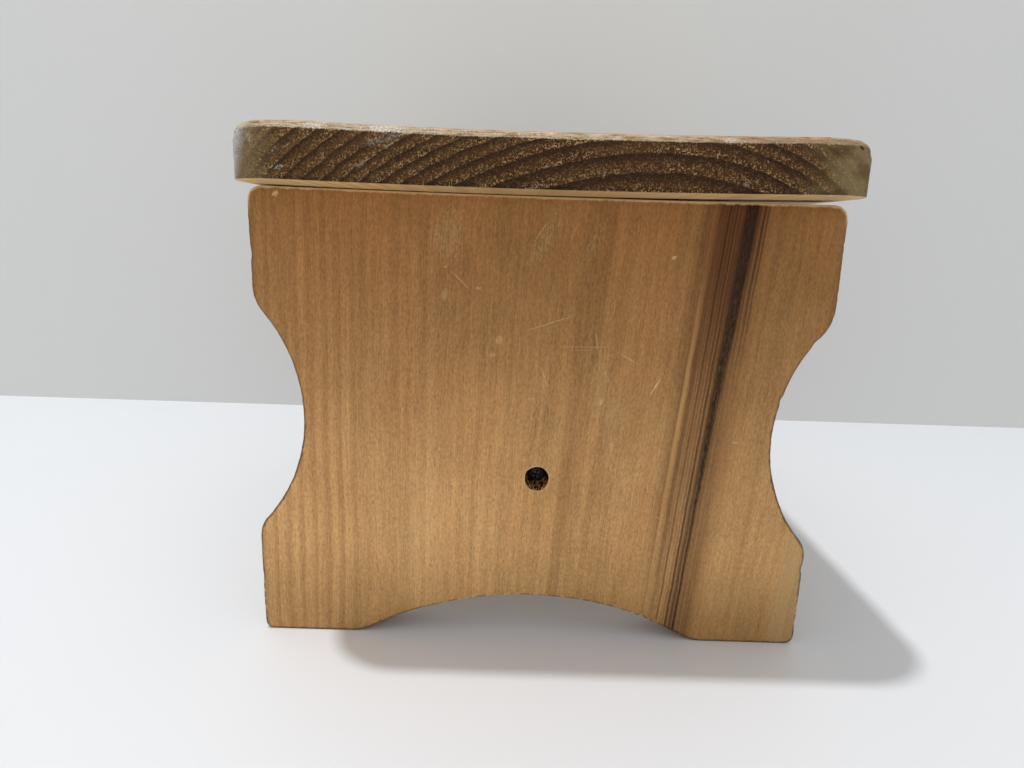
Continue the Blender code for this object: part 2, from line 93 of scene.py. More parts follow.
# %% [markdown]
# ## Node helpers
#
# Wood is many small layers of colour. Writing each node out in full would hide
# the idea, so these few helpers add a node, set or link its inputs, and give
# back the output socket.

# %% Node helpers


def feed(socket, value):
    """Link a socket to another, or set it to a plain value."""
    if isinstance(value, bpy.types.NodeSocket):
        socket.id_data.links.new(value, socket)
    elif value is not None:
        socket.default_value = value


def tree_of(values):
    """The node tree that the first socket among the values belongs to."""
    return next(value.id_data for value in values if isinstance(value, bpy.types.NodeSocket))


def new_node(kind, *values):
    """A node beside the sockets it reads, its first inputs fed in order."""
    node = tree_of(values).nodes.new(kind)
    for socket, value in zip(node.inputs, values):
        feed(socket, value)
    return node


def maths(operation, *values, clamp=False):
    """A Math node on sockets or numbers."""
    node = new_node("ShaderNodeMath", *values)
    node.operation = operation
    node.use_clamp = clamp
    return node.outputs[0]


def times(a, b):
    """a times b."""
    return maths("MULTIPLY", a, b)


def plus(a, b, clamp=False):
    """a plus b."""
    return maths("ADD", a, b, clamp=clamp)


def minus(a, b):
    """a less b."""
    return maths("SUBTRACT", a, b)


def over(a, b):
    """a divided by b."""
    return maths("DIVIDE", a, b)


def most(a, b):
    """The larger of a and b."""
    return maths("MAXIMUM", a, b)


def reach_of(a, b):
    """How far a point is from the middle, when it lies a across and b along."""
    return maths("SQRT", plus(times(a, a), times(b, b)))


def vector_maths(operation, a, b):
    """A Vector Math node on sockets or tuples."""
    node = new_node("ShaderNodeVectorMath", a, b)
    node.operation = operation
    return node.outputs[0]


def stretch(vector, factors):
    """A vector with each part multiplied by its own factor."""
    return vector_maths("MULTIPLY", vector, factors)


def split(vector):
    """The X, Y and Z of a vector."""
    return tuple(new_node("ShaderNodeSeparateXYZ", vector).outputs)


def joined(x, y, z):
    """One vector from three numbers or sockets."""
    return new_node("ShaderNodeCombineXYZ", x, y, z).outputs[0]


def noise_of(vector, detail=2.0, roughness=0.5, distortion=0.0, scale=1.0):
    """Smooth noise from 0 to 1, about 0.5."""
    node = new_node("ShaderNodeTexNoise", vector)
    node.inputs["Scale"].default_value = scale
    node.inputs["Detail"].default_value = detail
    node.inputs["Roughness"].default_value = roughness
    node.inputs["Distortion"].default_value = distortion
    return node.outputs["Fac"]


def ease(value, start, end, low=0.0, high=1.0):
    """Smooth step: low at start, high at end."""
    node = new_node("ShaderNodeMapRange", value, start, end, low, high)
    node.interpolation_type = "SMOOTHSTEP"
    return node.outputs[0]


def mix_colour(factor, a, b, blend="MIX"):
    """Mix two colours; a Mix node's colour sockets are picked by type, since names repeat."""
    node = tree_of((factor, a, b)).nodes.new("ShaderNodeMix")
    node.data_type = "RGBA"
    node.blend_type = blend
    colours = [socket for socket in node.inputs if socket.type == "RGBA"]
    for socket, value in zip([node.inputs[0], *colours], (factor, a, b)):
        feed(socket, value)
    return next(socket for socket in node.outputs if socket.type == "RGBA")


def shaded(colour, shade):
    """A colour made lighter or darker by one number."""
    return mix_colour(1.0, colour, joined(shade, shade, shade), "MULTIPLY")


def tone(red, green, blue):
    """A colour given as 0 to 255 screen values, made linear."""
    linear = []
    for value in (red, green, blue):
        part = value / 255.0
        linear.append(part / 12.92 if part <= 0.04045 else ((part + 0.055) / 1.055) ** 2.4)
    return (*linear, 1.0)


def attribute(tree, name):
    """A painted value carried by the mesh."""
    node = tree.nodes.new("ShaderNodeAttribute")
    node.attribute_name = name
    return node.outputs["Fac"]


def millimetres(tree):
    """The piece's own coordinates, in millimetres."""
    node = tree.nodes.new("ShaderNodeTexCoord")
    return stretch(node.outputs["Object"], (1000.0, 1000.0, 1000.0))


def new_group(name, inputs, outputs):
    """An empty shader group and its two ends; an input without a number is a vector."""
    tree = bpy.data.node_groups.new(name, "ShaderNodeTree")
    for label, default in inputs.items():
        kind = "NodeSocketVector" if default is None else "NodeSocketFloat"
        socket = tree.interface.new_socket(name=label, in_out="INPUT", socket_type=kind)
        if default is not None:
            socket.default_value = default
    for label in outputs:
        tree.interface.new_socket(name=label, in_out="OUTPUT", socket_type="NodeSocketFloat")
    start = tree.nodes.new("NodeGroupInput")
    end = tree.nodes.new("NodeGroupOutput")
    return tree, start.outputs, end.inputs


def place_group(group, **values):
    """Use a group in a material; spaces in socket names are written as underscores."""
    node = tree_of(values.values()).nodes.new("ShaderNodeGroup")
    node.node_tree = group
    for label, value in values.items():
        feed(node.inputs[label.replace("_", " ")], value)
    return node.outputs


def new_material(name, roughness, metallic=0.0, gloss_level=0.5):
    """A material with a Principled shader; gives back the material, its tree and the shader."""
    material = bpy.data.materials.new(name)
    material.use_nodes = True
    tree = material.node_tree
    shader = tree.nodes["Principled BSDF"]
    shader.inputs["Roughness"].default_value = roughness
    shader.inputs["Metallic"].default_value = metallic
    shader.inputs["Specular IOR Level"].default_value = gloss_level
    return material, tree, shader


def add_bump(shader, height, strength, distance):
    """Send a height to the shader's normal."""
    node = shader.id_data.nodes.new("ShaderNodeBump")
    node.inputs["Strength"].default_value = strength
    node.inputs["Distance"].default_value = distance
    feed(node.inputs["Height"], height)
    feed(shader.inputs["Normal"], node.outputs[0])


# %% [markdown]
# ## Shared effects
#
# Four effects are used again and again. *Fibres* are the fine lines along the
# grain: noise squeezed across it and stretched along it. *Annual rings* are
# circles about the tree's heart, paler where the tree grew in spring and dark
# where it slowed, with a sudden step back to pale. *Torn pores* are the small
# holes a saw leaves in end grain. A *mark* is one dent or scratch, an oval
# placed and turned on the board.

# %% Shared node groups


def fibre_group():
    """Fine fibres, soft streaks and broad patches; Grain is in mm, running along its Z."""
    tree, given, result = new_group(
        "wood fibres",
        {"Grain": None, "Fine Width": 0.35, "Streak Width": 3.0},
        ["Fine", "Streak", "Patch", "Pores"])
    x, y, z = split(given["Grain"])

    def stretched(width, along):
        across_x = over(x, width)
        across_y = over(y, width)
        return joined(across_x, across_y, times(z, along))

    fine = noise_of(stretched(given["Fine Width"], 0.06), 3.0, 0.6)
    streak = noise_of(stretched(given["Streak Width"], 0.006), 3.0, 0.55, 0.3)
    patch = noise_of(stretched(28.0, 0.012), 2.0, 0.5)
    pore_noise = noise_of(stretched(0.30, 0.35), 1.0, 0.5)
    feed(result["Fine"], fine)
    feed(result["Streak"], streak)
    feed(result["Patch"], patch)
    feed(result["Pores"], ease(pore_noise, 0.66, 0.74))
    return tree


def ring_group():
    """Annual rings about a heart line along Y: the place in the year and the late wood."""
    tree, given, result = new_group(
        "annual rings",
        {"Grain": None, "Heart X": 0.0, "Heart Z": 0.0, "Ring Width": 5.0}, ["Place", "Late"])
    x, _, z = split(given["Grain"])
    across = minus(x, given["Heart X"])
    above = minus(z, given["Heart Z"])
    # the tree was not round: its rings flatten to one side of the heart
    part = over(across, 100.0)
    oval = plus(1.0, times(part, plus(0.30, times(part, 0.114))))
    sideways = times(times(across, across), oval)
    radius = maths("SQRT", plus(sideways, times(above, above)))
    ripple = noise_of(stretch(given["Grain"], (0.16, 0.012, 0.16)), 3.0, 0.55)
    radius = plus(radius, times(minus(ripple, 0.5), 1.6))
    # fast and slow years: wide rings near the heart, narrow ones farther out
    out = over(minus(radius, 150.0), given["Ring Width"])
    wave = times(maths("SINE", over(out, 2.06)), 0.40)
    bend = times(times(out, out), 0.0151)
    rings = plus(plus(times(out, 1.01), bend), plus(wave, 6.28))
    place = maths("FRACT", rings)
    late = times(ease(place, 0.30, 0.97), ease(place, 0.998, 0.965))
    feed(result["Place"], place)
    feed(result["Late"], late)
    return tree


def pore_group():
    """Torn open pores: dark holes and the pale fibre walls round them; Grain runs along its Y."""
    tree, given, result = new_group("torn pores", {"Grain": None, "Size": 0.9}, ["Hole", "Wall"])
    drawn = stretch(given["Grain"], (1.0, 0.12, 1.0))
    nudge = noise_of(drawn, scale=1.1)
    drawn = vector_maths("ADD", drawn, joined(nudge, 0.0, nudge))
    scaled = joined(*[over(part, given["Size"]) for part in split(drawn)])
    cells = tree.nodes.new("ShaderNodeTexVoronoi")
    feed(cells.inputs["Vector"], scaled)
    cells.inputs["Scale"].default_value = 1.0
    chance = split(cells.outputs["Color"])[0]
    reach = cells.outputs["Distance"]
    feed(result["Hole"], times(ease(reach, 0.46, 0.22), ease(chance, 0.35, 0.6)))
    feed(result["Wall"], times(ease(reach, 0.46, 0.66), ease(nudge, 0.42, 0.60)))
    return tree


def mark_group():
    """One oval mark on a board's XZ face: 1 inside, fading at a ragged edge."""
    tree, given, result = new_group(
        "mark",
        {"Board": None, "X": 0.0, "Z": 0.0, "Turn": 0.0, "Length": 4.0, "Width": 1.0,
         "Ragged": 0.3},
        ["Mark"])
    x, _, z = split(given["Board"])
    across = minus(x, given["X"])
    along = minus(z, given["Z"])
    angle = times(given["Turn"], math.pi / 180.0)
    cosine = maths("COSINE", angle)
    sine = maths("SINE", angle)
    u = plus(times(across, cosine), times(along, sine))
    v = minus(times(along, cosine), times(across, sine))
    u = over(u, times(given["Length"], 0.5))
    v = over(v, times(given["Width"], 0.5))
    reach = reach_of(u, v)
    grit = noise_of(given["Board"], roughness=0.6, scale=1.3)
    ragged = times(minus(grit, 0.5), given["Ragged"])
    feed(result["Mark"], ease(plus(reach, ragged), 1.0, 0.55))
    return tree


WOOD_FIBRES = fibre_group()
ANNUAL_RINGS = ring_group()
TORN_PORES = pore_group()
MARK = mark_group()
print("shared groups", [group.name for group in (WOOD_FIBRES, ANNUAL_RINGS, TORN_PORES, MARK)])

# %% [markdown]
# ## The end panels' shape
#
# Each end is one upright board: straight ears, a round waist sawn in from each
# side, feet a little wider than the ears, and a low arch between them. It could
# be a box with cylinders cut away, but a hand-held saw never leaves a true
# curve. So the outline is walked point by point, each point pushed in or out by
# a little noise, and then extruded, bevelled and bored.

# %% Panel outline
WAIST_RADIUS = 75.2
ARCH_RISE = 21.7
PANEL_TOP = 206.55
POINT_STEP = 1.3

LEFT_SIDE = {"ear": 127.0, "waist": 106.5, "waist_z": 107.0,
             "foot": 128.7, "sole": 128.3, "arch": 81.8}
RIGHT_SIDE = {"ear": 127.2, "waist": 106.2, "waist_z": 103.6,
              "foot": 128.2, "sole": 127.9, "arch": 77.6}


def along_line(points, distance):
    """The point a distance along a polyline, and the points that follow it."""
    travelled = 0.0
    for index in range(len(points) - 1):
        start, end = Vector(points[index]), Vector(points[index + 1])
        step = (end - start).length
        if travelled + step > distance:
            return tuple(start.lerp(end, (distance - travelled) / step)), points[index + 1:]
        travelled += step
    return points[-1], []


def soft_corner(before, after, distance, steps=6):
    """Join two polylines that share a corner with a short curve."""
    corner = Vector(after[0])
    start, kept_before = along_line(before[::-1], distance)
    end, kept_after = along_line(after, distance)
    start, end = Vector(start), Vector(end)
    curve = []
    for index in range(steps + 1):
        t = index / steps
        curve.append(tuple(start * (1 - t) ** 2 + corner * 2 * t * (1 - t) + end * t ** 2))
    return kept_before[::-1] + curve + kept_after


def side_outline(side):
    """One half of the panel in mm, from the middle of the top edge to the arch's crown."""
    centre_x = side["waist"] + WAIST_RADIUS
    upper = math.acos((centre_x - side["ear"]) / WAIST_RADIUS)
    lower = math.acos((centre_x - side["foot"]) / WAIST_RADIUS)
    waist = []
    for index in range(41):
        angle = upper - (upper + lower) * index / 40
        waist.append((centre_x - WAIST_RADIUS * math.cos(angle),
                      side["waist_z"] + WAIST_RADIUS * math.sin(angle)))
    arch_radius = (side["arch"] ** 2 + ARCH_RISE ** 2) / (2 * ARCH_RISE)
    arch = []
    for index in range(25):
        x = side["arch"] * (1 - index / 24)
        arch.append((x, max(0.0, ARCH_RISE - arch_radius + math.sqrt(arch_radius ** 2 - x * x))))
    top_edge = [(0.0, PANEL_TOP), (side["ear"], PANEL_TOP)]
    outline = soft_corner(top_edge, [(side["ear"], PANEL_TOP), waist[0]], 7.0)
    outline = soft_corner(outline, waist, 7.0)
    outline = soft_corner(outline, [waist[-1], (side["sole"], 0.0)], 6.0)
    outline = soft_corner(outline, [(side["sole"], 0.0), (side["arch"], 0.0)], 4.5)
    return soft_corner(outline, arch, 6.0)


def evenly_spaced(points, step):
    """Points a fixed step apart along a closed outline."""
    closed = points + [points[0]]
    lengths = [0.0]
    for start, end in zip(closed, closed[1:]):
        lengths.append(lengths[-1] + (Vector(end) - Vector(start)).length)
    count = int(lengths[-1] / step)
    spaced = []
    segment = 0
    for index in range(count):
        distance = lengths[-1] * index / count
        while lengths[segment + 1] < distance:
            segment += 1
        t = (distance - lengths[segment]) / (lengths[segment + 1] - lengths[segment])
        spaced.append(Vector(closed[segment]).lerp(Vector(closed[segment + 1]), t))
    return spaced


def sawn_outline(seed):
    """The whole outline with saw wander, small chips and a top edge scribed to the cupped top."""
    right = side_outline(RIGHT_SIDE)
    left = [(-x, z) for x, z in side_outline(LEFT_SIDE)][-2:0:-1]
    smooth = evenly_spaced(right + left, POINT_STEP)
    count = len(smooth)
    sawn = []
    for index, point in enumerate(smooth):
        ahead, behind = smooth[(index + 1) % count], smooth[index - 1]
        direction = (ahead - behind).normalized()
        inward = Vector((direction.y, -direction.x))
        straight = point.y > PANEL_TOP - 0.5 or point.y < 0.4
        curved = 0.0 if straight else 1.0
        wander = 0.30 * noise.noise(Vector((point.x * 0.05, seed, point.y * 0.05)))
        teeth = 0.16 * noise.noise(Vector((point.x * 0.45, seed + 9.0, point.y * 0.45)))
        chip_noise = noise.noise(Vector((point.x * 0.16, seed + 4.0, point.y * 0.16)))
        chip = max(0.0, chip_noise - 0.38) * 1.6
        moved = point + inward * curved * (0.05 + wander + teeth + chip)
        if point.y > PANEL_TOP - 7.0:
            moved.y += (0.80 if point.x < 0 else 0.35) * (point.x / 122.0) ** 2 - 0.16
        sawn.append((moved.x * MM, max(moved.y, 0.0) * MM))
    return sawn


print("outline points", len(sawn_outline(1.0)))

# %% [markdown]
# The bore in the panel is one turned profile: the rim, the wide part for the
# missing plug, the seat for the screw head and the narrow hole beyond. Spinning
# it gives a clean tube, and filling between its rings and the board's own rings
# closes both faces with no cut to tidy up.

# %% Panel mesh
BORE_RADIUS = 5.05
BORE_DEPTH = 9.5
SCREW_HOLE_RADIUS = 2.4
BORE_HEIGHT = 80.7
BORE_ZONE = 0.0075
RIM_INSET = 0.003
RIM_DEPTH = 0.0009
PANEL_THICK = panel_high.y - panel_low.y


def bore_reach(vert):
    """How far a vertex is from the bore's axis."""
    return Vector((vert.co.x, vert.co.z - BORE_HEIGHT * MM)).length


def new_object(bm, name):
    """Put a finished bmesh into the scene as an object."""
    mesh = bpy.data.meshes.new(name)
    bm.to_mesh(mesh)
    bm.free()
    piece = bpy.data.objects.new(name, mesh)
    bpy.context.scene.collection.objects.link(piece)
    return piece


def smooth_shading(piece, sharp_angle):
    """Shade smoothly, but keep edges sharper than the angle crisp."""
    piece.data.shade_smooth()
    piece.data.set_sharp_from_angle(angle=math.radians(sharp_angle))


def bevel(bm, edges, offset, segments):
    """Round some edges."""
    bmesh.ops.bevel(bm, geom=edges, offset=offset, offset_type="OFFSET", segments=segments,
                    profile=0.5, affect="EDGES", material=-1)


def paint(bm, name, value_of):
    """Write a value for each vertex, to be read by a material."""
    layer = bm.verts.layers.float.get(name) or bm.verts.layers.float.new(name)
    for vert in bm.verts:
        vert[layer] = value_of(vert)


def bore_surface(bm, outer_y, inward):
    """Spin the bore's profile about its axis and leave it in the panel's mesh."""
    profile = [
        (7.2, 0.0), (5.75, 0.0), (5.55, 0.12), (5.40, 0.9),
        (BORE_RADIUS, 3.2), (BORE_RADIUS, 9.0),
        (BORE_RADIUS - 0.5, BORE_DEPTH), (SCREW_HOLE_RADIUS, BORE_DEPTH),
        (SCREW_HOLE_RADIUS, PANEL_THICK / MM), (SCREW_HOLE_RADIUS + 3.0, PANEL_THICK / MM),
    ]
    verts = []
    for radius, depth in profile:
        place = (radius * MM, outer_y + inward * depth * MM, BORE_HEIGHT * MM)
        verts.append(bm.verts.new(place))
    edges = [bm.edges.new(pair) for pair in zip(verts, verts[1:])]
    bmesh.ops.spin(bm, geom=verts + edges, cent=(0.0, outer_y, BORE_HEIGHT * MM), axis=(0, 1, 0),
                   angle=2 * math.pi, steps=48, use_merge=True)
    for vert in bm.verts:
        depth = (vert.co.y - outer_y) * inward / MM
        reach = bore_reach(vert) / MM
        if depth < 5.0 and 5.0 < reach < 6.0:
            ragged = 0.30 * noise.noise(Vector((vert.co.x * 260.0, 2.0, vert.co.z * 260.0)))
            taller = 0.35 * abs(vert.co.z - BORE_HEIGHT * MM) / (reach * MM)
            grow = 1.0 + (ragged + taller) * (1.0 - depth / 5.0) / reach
            vert.co.x *= grow
            vert.co.z = BORE_HEIGHT * MM + (vert.co.z - BORE_HEIGHT * MM) * grow


def fill_between(bm, y):
    """Fill the flat ring between the board's inner loop and the bore's loop."""
    open_edges = [edge for edge in bm.edges
                  if edge.is_boundary and all(abs(vert.co.y - y) < 1e-5 for vert in edge.verts)]
    bmesh.ops.triangle_fill(bm, use_beauty=True, edges=open_edges)


def board_from_outline(outline, outer_y, inward):
    """Extrude the outline to the board's thickness, ease its rims and ring each face."""
    bm = bmesh.new()
    face = bm.faces.new([bm.verts.new((x, outer_y, z)) for x, z in outline])
    grown = bmesh.ops.extrude_face_region(bm, geom=[face])
    moved = [item for item in grown["geom"] if isinstance(item, bmesh.types.BMVert)]
    bmesh.ops.translate(bm, vec=(0.0, inward * PANEL_THICK, 0.0), verts=moved)
    walls = [edge for edge in bm.edges if abs(edge.verts[0].co.y - edge.verts[1].co.y) > 0.001]
    bmesh.ops.subdivide_edges(bm, edges=walls, cuts=7)
    flat_y = (outer_y, outer_y + inward * PANEL_THICK)
    rims = [edge for edge in bm.edges
            if any(all(abs(vert.co.y - y) < 1e-6 for vert in edge.verts) for y in flat_y)]
    bevel(bm, rims, 0.0006, 2)
    broad = [face for face in bm.faces if len(face.verts) > 100]
    bmesh.ops.inset_region(bm, faces=broad, thickness=RIM_INSET, depth=0.0, use_even_offset=True,
                           use_boundary=True)
    broad = [face for face in bm.faces if len(face.verts) > 100]
    bmesh.ops.delete(bm, geom=broad, context="FACES_ONLY")
    return bm, flat_y


def saw_the_walls(bm, outer_y, inward, seed):
    """Saw ripples across the edge of the board, in the middle of its thickness."""
    bm.normal_update()
    for vert in bm.verts:
        depth = (vert.co.y - outer_y) * inward
        if 0.0008 < depth < PANEL_THICK - 0.0008 and bore_reach(vert) > 0.01:
            point = vert.co / MM
            ripple = noise.noise(Vector((point.x * 0.5, point.y * 0.12 + seed, point.z * 0.5)))
            hollow = noise.noise(Vector((point.x * 0.08, point.y * 0.1 + seed, point.z * 0.08)))
            vert.co -= vert.normal * (0.05 + 0.12 * ripple + 0.12 * hollow) * MM
    for vert in bm.verts:
        vert.co.z = max(vert.co.z, 0.0)


def panel_piece(name, node, inward, seed):
    """One end panel, ready to finish."""
    low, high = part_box(node)
    outer_y = low.y if inward > 0 else high.y
    bm, flat_y = board_from_outline(sawn_outline(seed), outer_y, inward)
    saw_the_walls(bm, outer_y, inward, seed)
    bore_surface(bm, outer_y, inward)
    for y in flat_y:
        fill_between(bm, y)
    bmesh.ops.remove_doubles(bm, verts=bm.verts[:], dist=1e-6)
    bmesh.ops.recalc_face_normals(bm, faces=bm.faces[:])
    thick = abs(flat_y[1] - flat_y[0])

    def rim_value(vert):
        depth = abs(vert.co.y - outer_y)
        reach = bore_reach(vert)
        if reach < BORE_ZONE:
            return 0.95 if depth < 0.0001 and reach < 0.0068 else 0.0
        if 1e-5 < depth < RIM_DEPTH or 1e-5 < thick - depth < RIM_DEPTH:
            return 1.0
        if depth <= 1e-5 or thick - depth <= 1e-5:
            rises = (abs(edge.other_vert(vert).co.y - vert.co.y) for edge in vert.link_edges)
            return 0.85 if any(rise > 1e-5 for rise in rises) else 0.0
        return 0.4

    def wall_value(vert):
        depth = abs(vert.co.y - outer_y)
        if bore_reach(vert) < BORE_ZONE:
            return 0.8 if depth > 0.0004 else 0.0
        return 1.0 if 0.0004 < depth < thick - 0.0004 else 0.0

    paint(bm, "rim", rim_value)
    paint(bm, "wall", wall_value)
    piece = new_object(bm, name)
    smooth_shading(piece, 38.0)
    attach(piece, "base")
    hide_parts(node)
    print(name, len(piece.data.polygons), "faces")
    return piece


front_panel = panel_piece("front_panel_board", "front_end_panel", 1, 1.0)
rear_panel = panel_piece("rear_panel_board", "rear_end_panel", -1, 23.0)

# %% [markdown]
# ## The end panels' wood
#
# The board is a tan hardwood with fine upright grain that leans to the right in
# its right half, where a dark mineral streak runs from top to foot. The grain is
# one bent coordinate: every line, fibre and band is drawn in it, so they all
# lean together. Over it lie a darker, browner top of the board, painted as the
# shade under the overhanging top, then the pale rims and the marks of use.

# %% Panel wood
STREAK_LEAN = 0.086
MID_HEIGHT = 103.0

PALE_WOOD = tone(211, 165, 108)
RED_WOOD = tone(182, 126, 72)
OLIVE_WOOD = tone(178, 138, 80)
# the upper board's colour: painted shade under the overhanging top
SHADED_HIGH_WOOD = tone(161, 115, 66)
SAWN_EDGE = tone(120, 82, 46)
PALE_RIM = tone(226, 194, 144)
GROWTH_BROWN = tone(138, 92, 48)
BURNT_AND_SHADED_RIM = tone(70, 44, 26)
STREAK_BLACK = tone(24, 13, 5)
STREAK_LINE = tone(56, 28, 10)
STREAK_BROWN = tone(94, 52, 20)
STREAK_PALE = tone(212, 166, 106)

# place x, place z, turn in degrees, length, width, strength, raggedness
PANEL_MARKS = [
    (51.5, 126.3, 60.8, 10.0, 1.0, 0.90, 0.9),
    (54.9, 182.7, 20.0, 2.6, 2.0, 0.75, 1.2),
    (-115.1, 204.0, 35.0, 3.4, 2.6, 0.90, 1.4),
    (-36.6, 170.4, -43.0, 14.5, 0.55, 0.55, 0.4),
    (-43.0, 175.8, 0.0, 1.8, 0.8, 0.75, 0.6),
    (-19.1, 144.8, 60.0, 5.0, 4.0, 0.34, 0.6),
    (-22.0, 138.0, 20.0, 4.0, 2.4, 0.25, 0.6),
    (-43.5, 163.7, 75.0, 7.0, 3.2, 0.28, 0.7),
    (-28.6, 167.2, 10.0, 2.6, 1.6, 0.42, 0.7),
    (3.6, 153.1, 19.5, 27.0, 0.7, 0.42, 0.5),
    (19.0, 142.9, 1.0, 25.0, 0.5, 0.42, 0.4),
    (17.0, 141.4, 2.0, 17.0, 0.4, 0.30, 0.4),
    (38.5, 138.2, -29.0, 18.0, 0.6, 0.38, 0.4),
    (24.0, 145.5, -80.0, 15.0, 0.8, 0.32, 0.5),
    (28.5, 131.5, -65.0, 14.0, 0.7, 0.30, 0.5),
    (34.0, 118.0, -66.0, 14.0, 0.6, 0.28, 0.5),
    (1.7, 127.9, -69.0, 10.0, 0.8, 0.45, 0.5),
    (-4.7, 118.5, 2.0, 6.5, 0.5, 0.50, 0.4),
    (27.4, 118.2, 78.0, 4.6, 2.0, 0.42, 0.7),
    (33.5, 97.5, 84.0, 6.5, 2.4, 0.40, 0.7),
    (33.7, 87.0, 86.0, 5.0, 1.2, 0.34, 0.6),
    (89.5, 101.0, 3.0, 3.4, 0.9, 0.60, 0.9),
    (12.0, 193.0, 62.0, 9.0, 0.7, 0.34, 0.5),
    (-2.8, 191.5, 58.0, 11.0, 0.8, 0.36, 0.5),
    (15.5, 176.0, 85.0, 9.0, 0.5, 0.28, 0.4),
    (58.0, 63.0, -14.0, 6.0, 0.7, 0.35, 0.8),
]

# place x, place z, turn, length, width, strength: soft rubbed patches
RUBBED_PATCHES = [
    (-42.0, 190.0, 80.0, 26.0, 15.0, 0.30),
    (0.0, 190.0, 62.0, 30.0, 9.0, 0.26),
    (20.0, 188.0, 70.0, 24.0, 8.0, 0.16),
    (30.0, 118.0, -70.0, 50.0, 14.0, 0.14),
    (-60.0, 60.0, 85.0, 60.0, 26.0, 0.10),
]


def leaning_grain(board, lean):
    """Bend the board's coordinates so that lines of constant x follow the grain."""
    x, _, z = split(board)
    leaning = ease(x, -70.0, 45.0, 0.10, 1.0)
    rise = minus(z, MID_HEIGHT)
    shift = times(times(rise, lean), leaning)
    wave = noise_of(joined(times(x, 0.012), 0.0, times(z, 0.012)))
    sway = times(minus(wave, 0.5), 5.0)
    straight = minus(x, shift)
    return plus(straight, sway), straight, z


def line_mask(across, place, inner, outer):
    """1 on a line in the bent grain, fading from its inner half width to its outer one."""
    return ease(maths("ABSOLUTE", minus(across, place)), outer, inner)


STREAK_LINES = [
    # place, half width, softness, darkness at the foot, at the waist and at the top
    (57.2, 0.3, 0.8, 0.05, 0.16, 0.20),
    (59.3, 0.7, 1.3, 0.00, 0.24, 0.40),
    (61.0, 0.2, 0.5, 0.20, 0.34, 0.22),
    (65.3, 0.5, 0.9, 0.18, 0.40, 0.34),
    (67.2, 0.2, 0.4, 0.20, 0.22, 0.40),
    (68.5, 0.25, 0.5, 0.55, 0.50, 0.80),
    (69.9, 0.2, 0.5, 0.12, 0.28, 0.55),
    (71.5, 0.2, 0.5, 0.25, 0.36, 0.62),
    (73.1, 0.3, 0.5, 0.80, 0.75, 0.40),
    (74.3, 0.15, 0.4, 0.40, 0.42, 0.45),
    (75.2, 0.3, 0.6, 0.72, 0.66, 0.55),
    (77.0, 0.25, 0.5, 0.85, 0.60, 0.30),
    (79.4, 0.3, 0.8, 0.30, 0.35, 0.45),
    (81.2, 0.2, 0.5, 0.10, 0.18, 0.40),
    (83.2, 0.3, 0.45, 0.12, 0.10, 0.80),
    (84.8, 0.2, 0.45, 0.05, 0.05, 0.55),
]


def mineral_streak(straight, z):
    """The dark streak: its black lines, its brown stain and the pale line beside it."""
    high = ease(z, 110.0, 190.0)
    low = ease(z, 90.0, 10.0)
    wobble = noise_of(joined(0.0, 0.0, times(z, 0.05)), 2.0)
    drift = times(minus(wobble, 0.5), 1.2)
    across = plus(straight, drift)
    fine = noise_of(joined(times(across, 1.6), 0.0, times(z, 0.015)), 3.0, 0.65)
    grain = noise_of(joined(times(across, 3.0), 0.0, times(z, 0.30)), 3.0, 0.7)
    # the heart of the streak: broad above, split into hairlines near the foot
    body_half = plus(times(ease(z, 20.0, 130.0), 0.75), 0.15)
    body_half = plus(body_half, times(high, 0.9))
    body = line_mask(across, plus(77.0, high), body_half, plus(body_half, 1.7))
    fading = ease(z, 28.0, 100.0, 0.42, 1.0)
    dark = times(times(body, fading), ease(grain, 0.30, 0.62, 0.42, 1.0))
    lines = None
    for place, half_width, softness, foot, waist, top in STREAK_LINES:
        strength = plus(waist, plus(times(high, top - waist), times(low, foot - waist)))
        line = times(line_mask(across, place, half_width, half_width + softness), strength)
        lines = line if lines is None else most(lines, line)
    lines = times(lines, ease(grain, 0.25, 0.55, 0.55, 1.0))
    depth = plus(0.34, minus(times(high, 0.44), times(low, 0.28)))
    wide = times(line_mask(across, 73.0, 6.5, 14.5), depth)
    near = times(line_mask(across, 78.0, 2.0, 11.0), 0.42)
    stain = times(most(wide, near), ease(fine, 0.30, 0.60, 0.70, 1.12))
    pale = times(line_mask(across, 62.6, 0.35, 1.35),
                 minus(ease(z, 40.0, 120.0, 0.12, 0.55), times(high, 0.50)))
    return dark, lines, stain, pale


def one_mark(board, x, z, turn, length, width, ragged):
    """One oval mark, 1 inside."""
    return place_group(MARK, Board=board, X=x, Z=z, Turn=turn, Length=length, Width=width,
                       Ragged=ragged)["Mark"]


def all_marks(board, marks, raggedness=None):
    """The strongest of several marks at each point."""
    total = None
    for x, z, turn, length, width, strength, *rest in marks:
        ragged = rest[0] if rest else raggedness
        mask = times(one_mark(board, x, z, turn, length, width, ragged), strength)
        total = mask if total is None else most(total, mask)
    return total


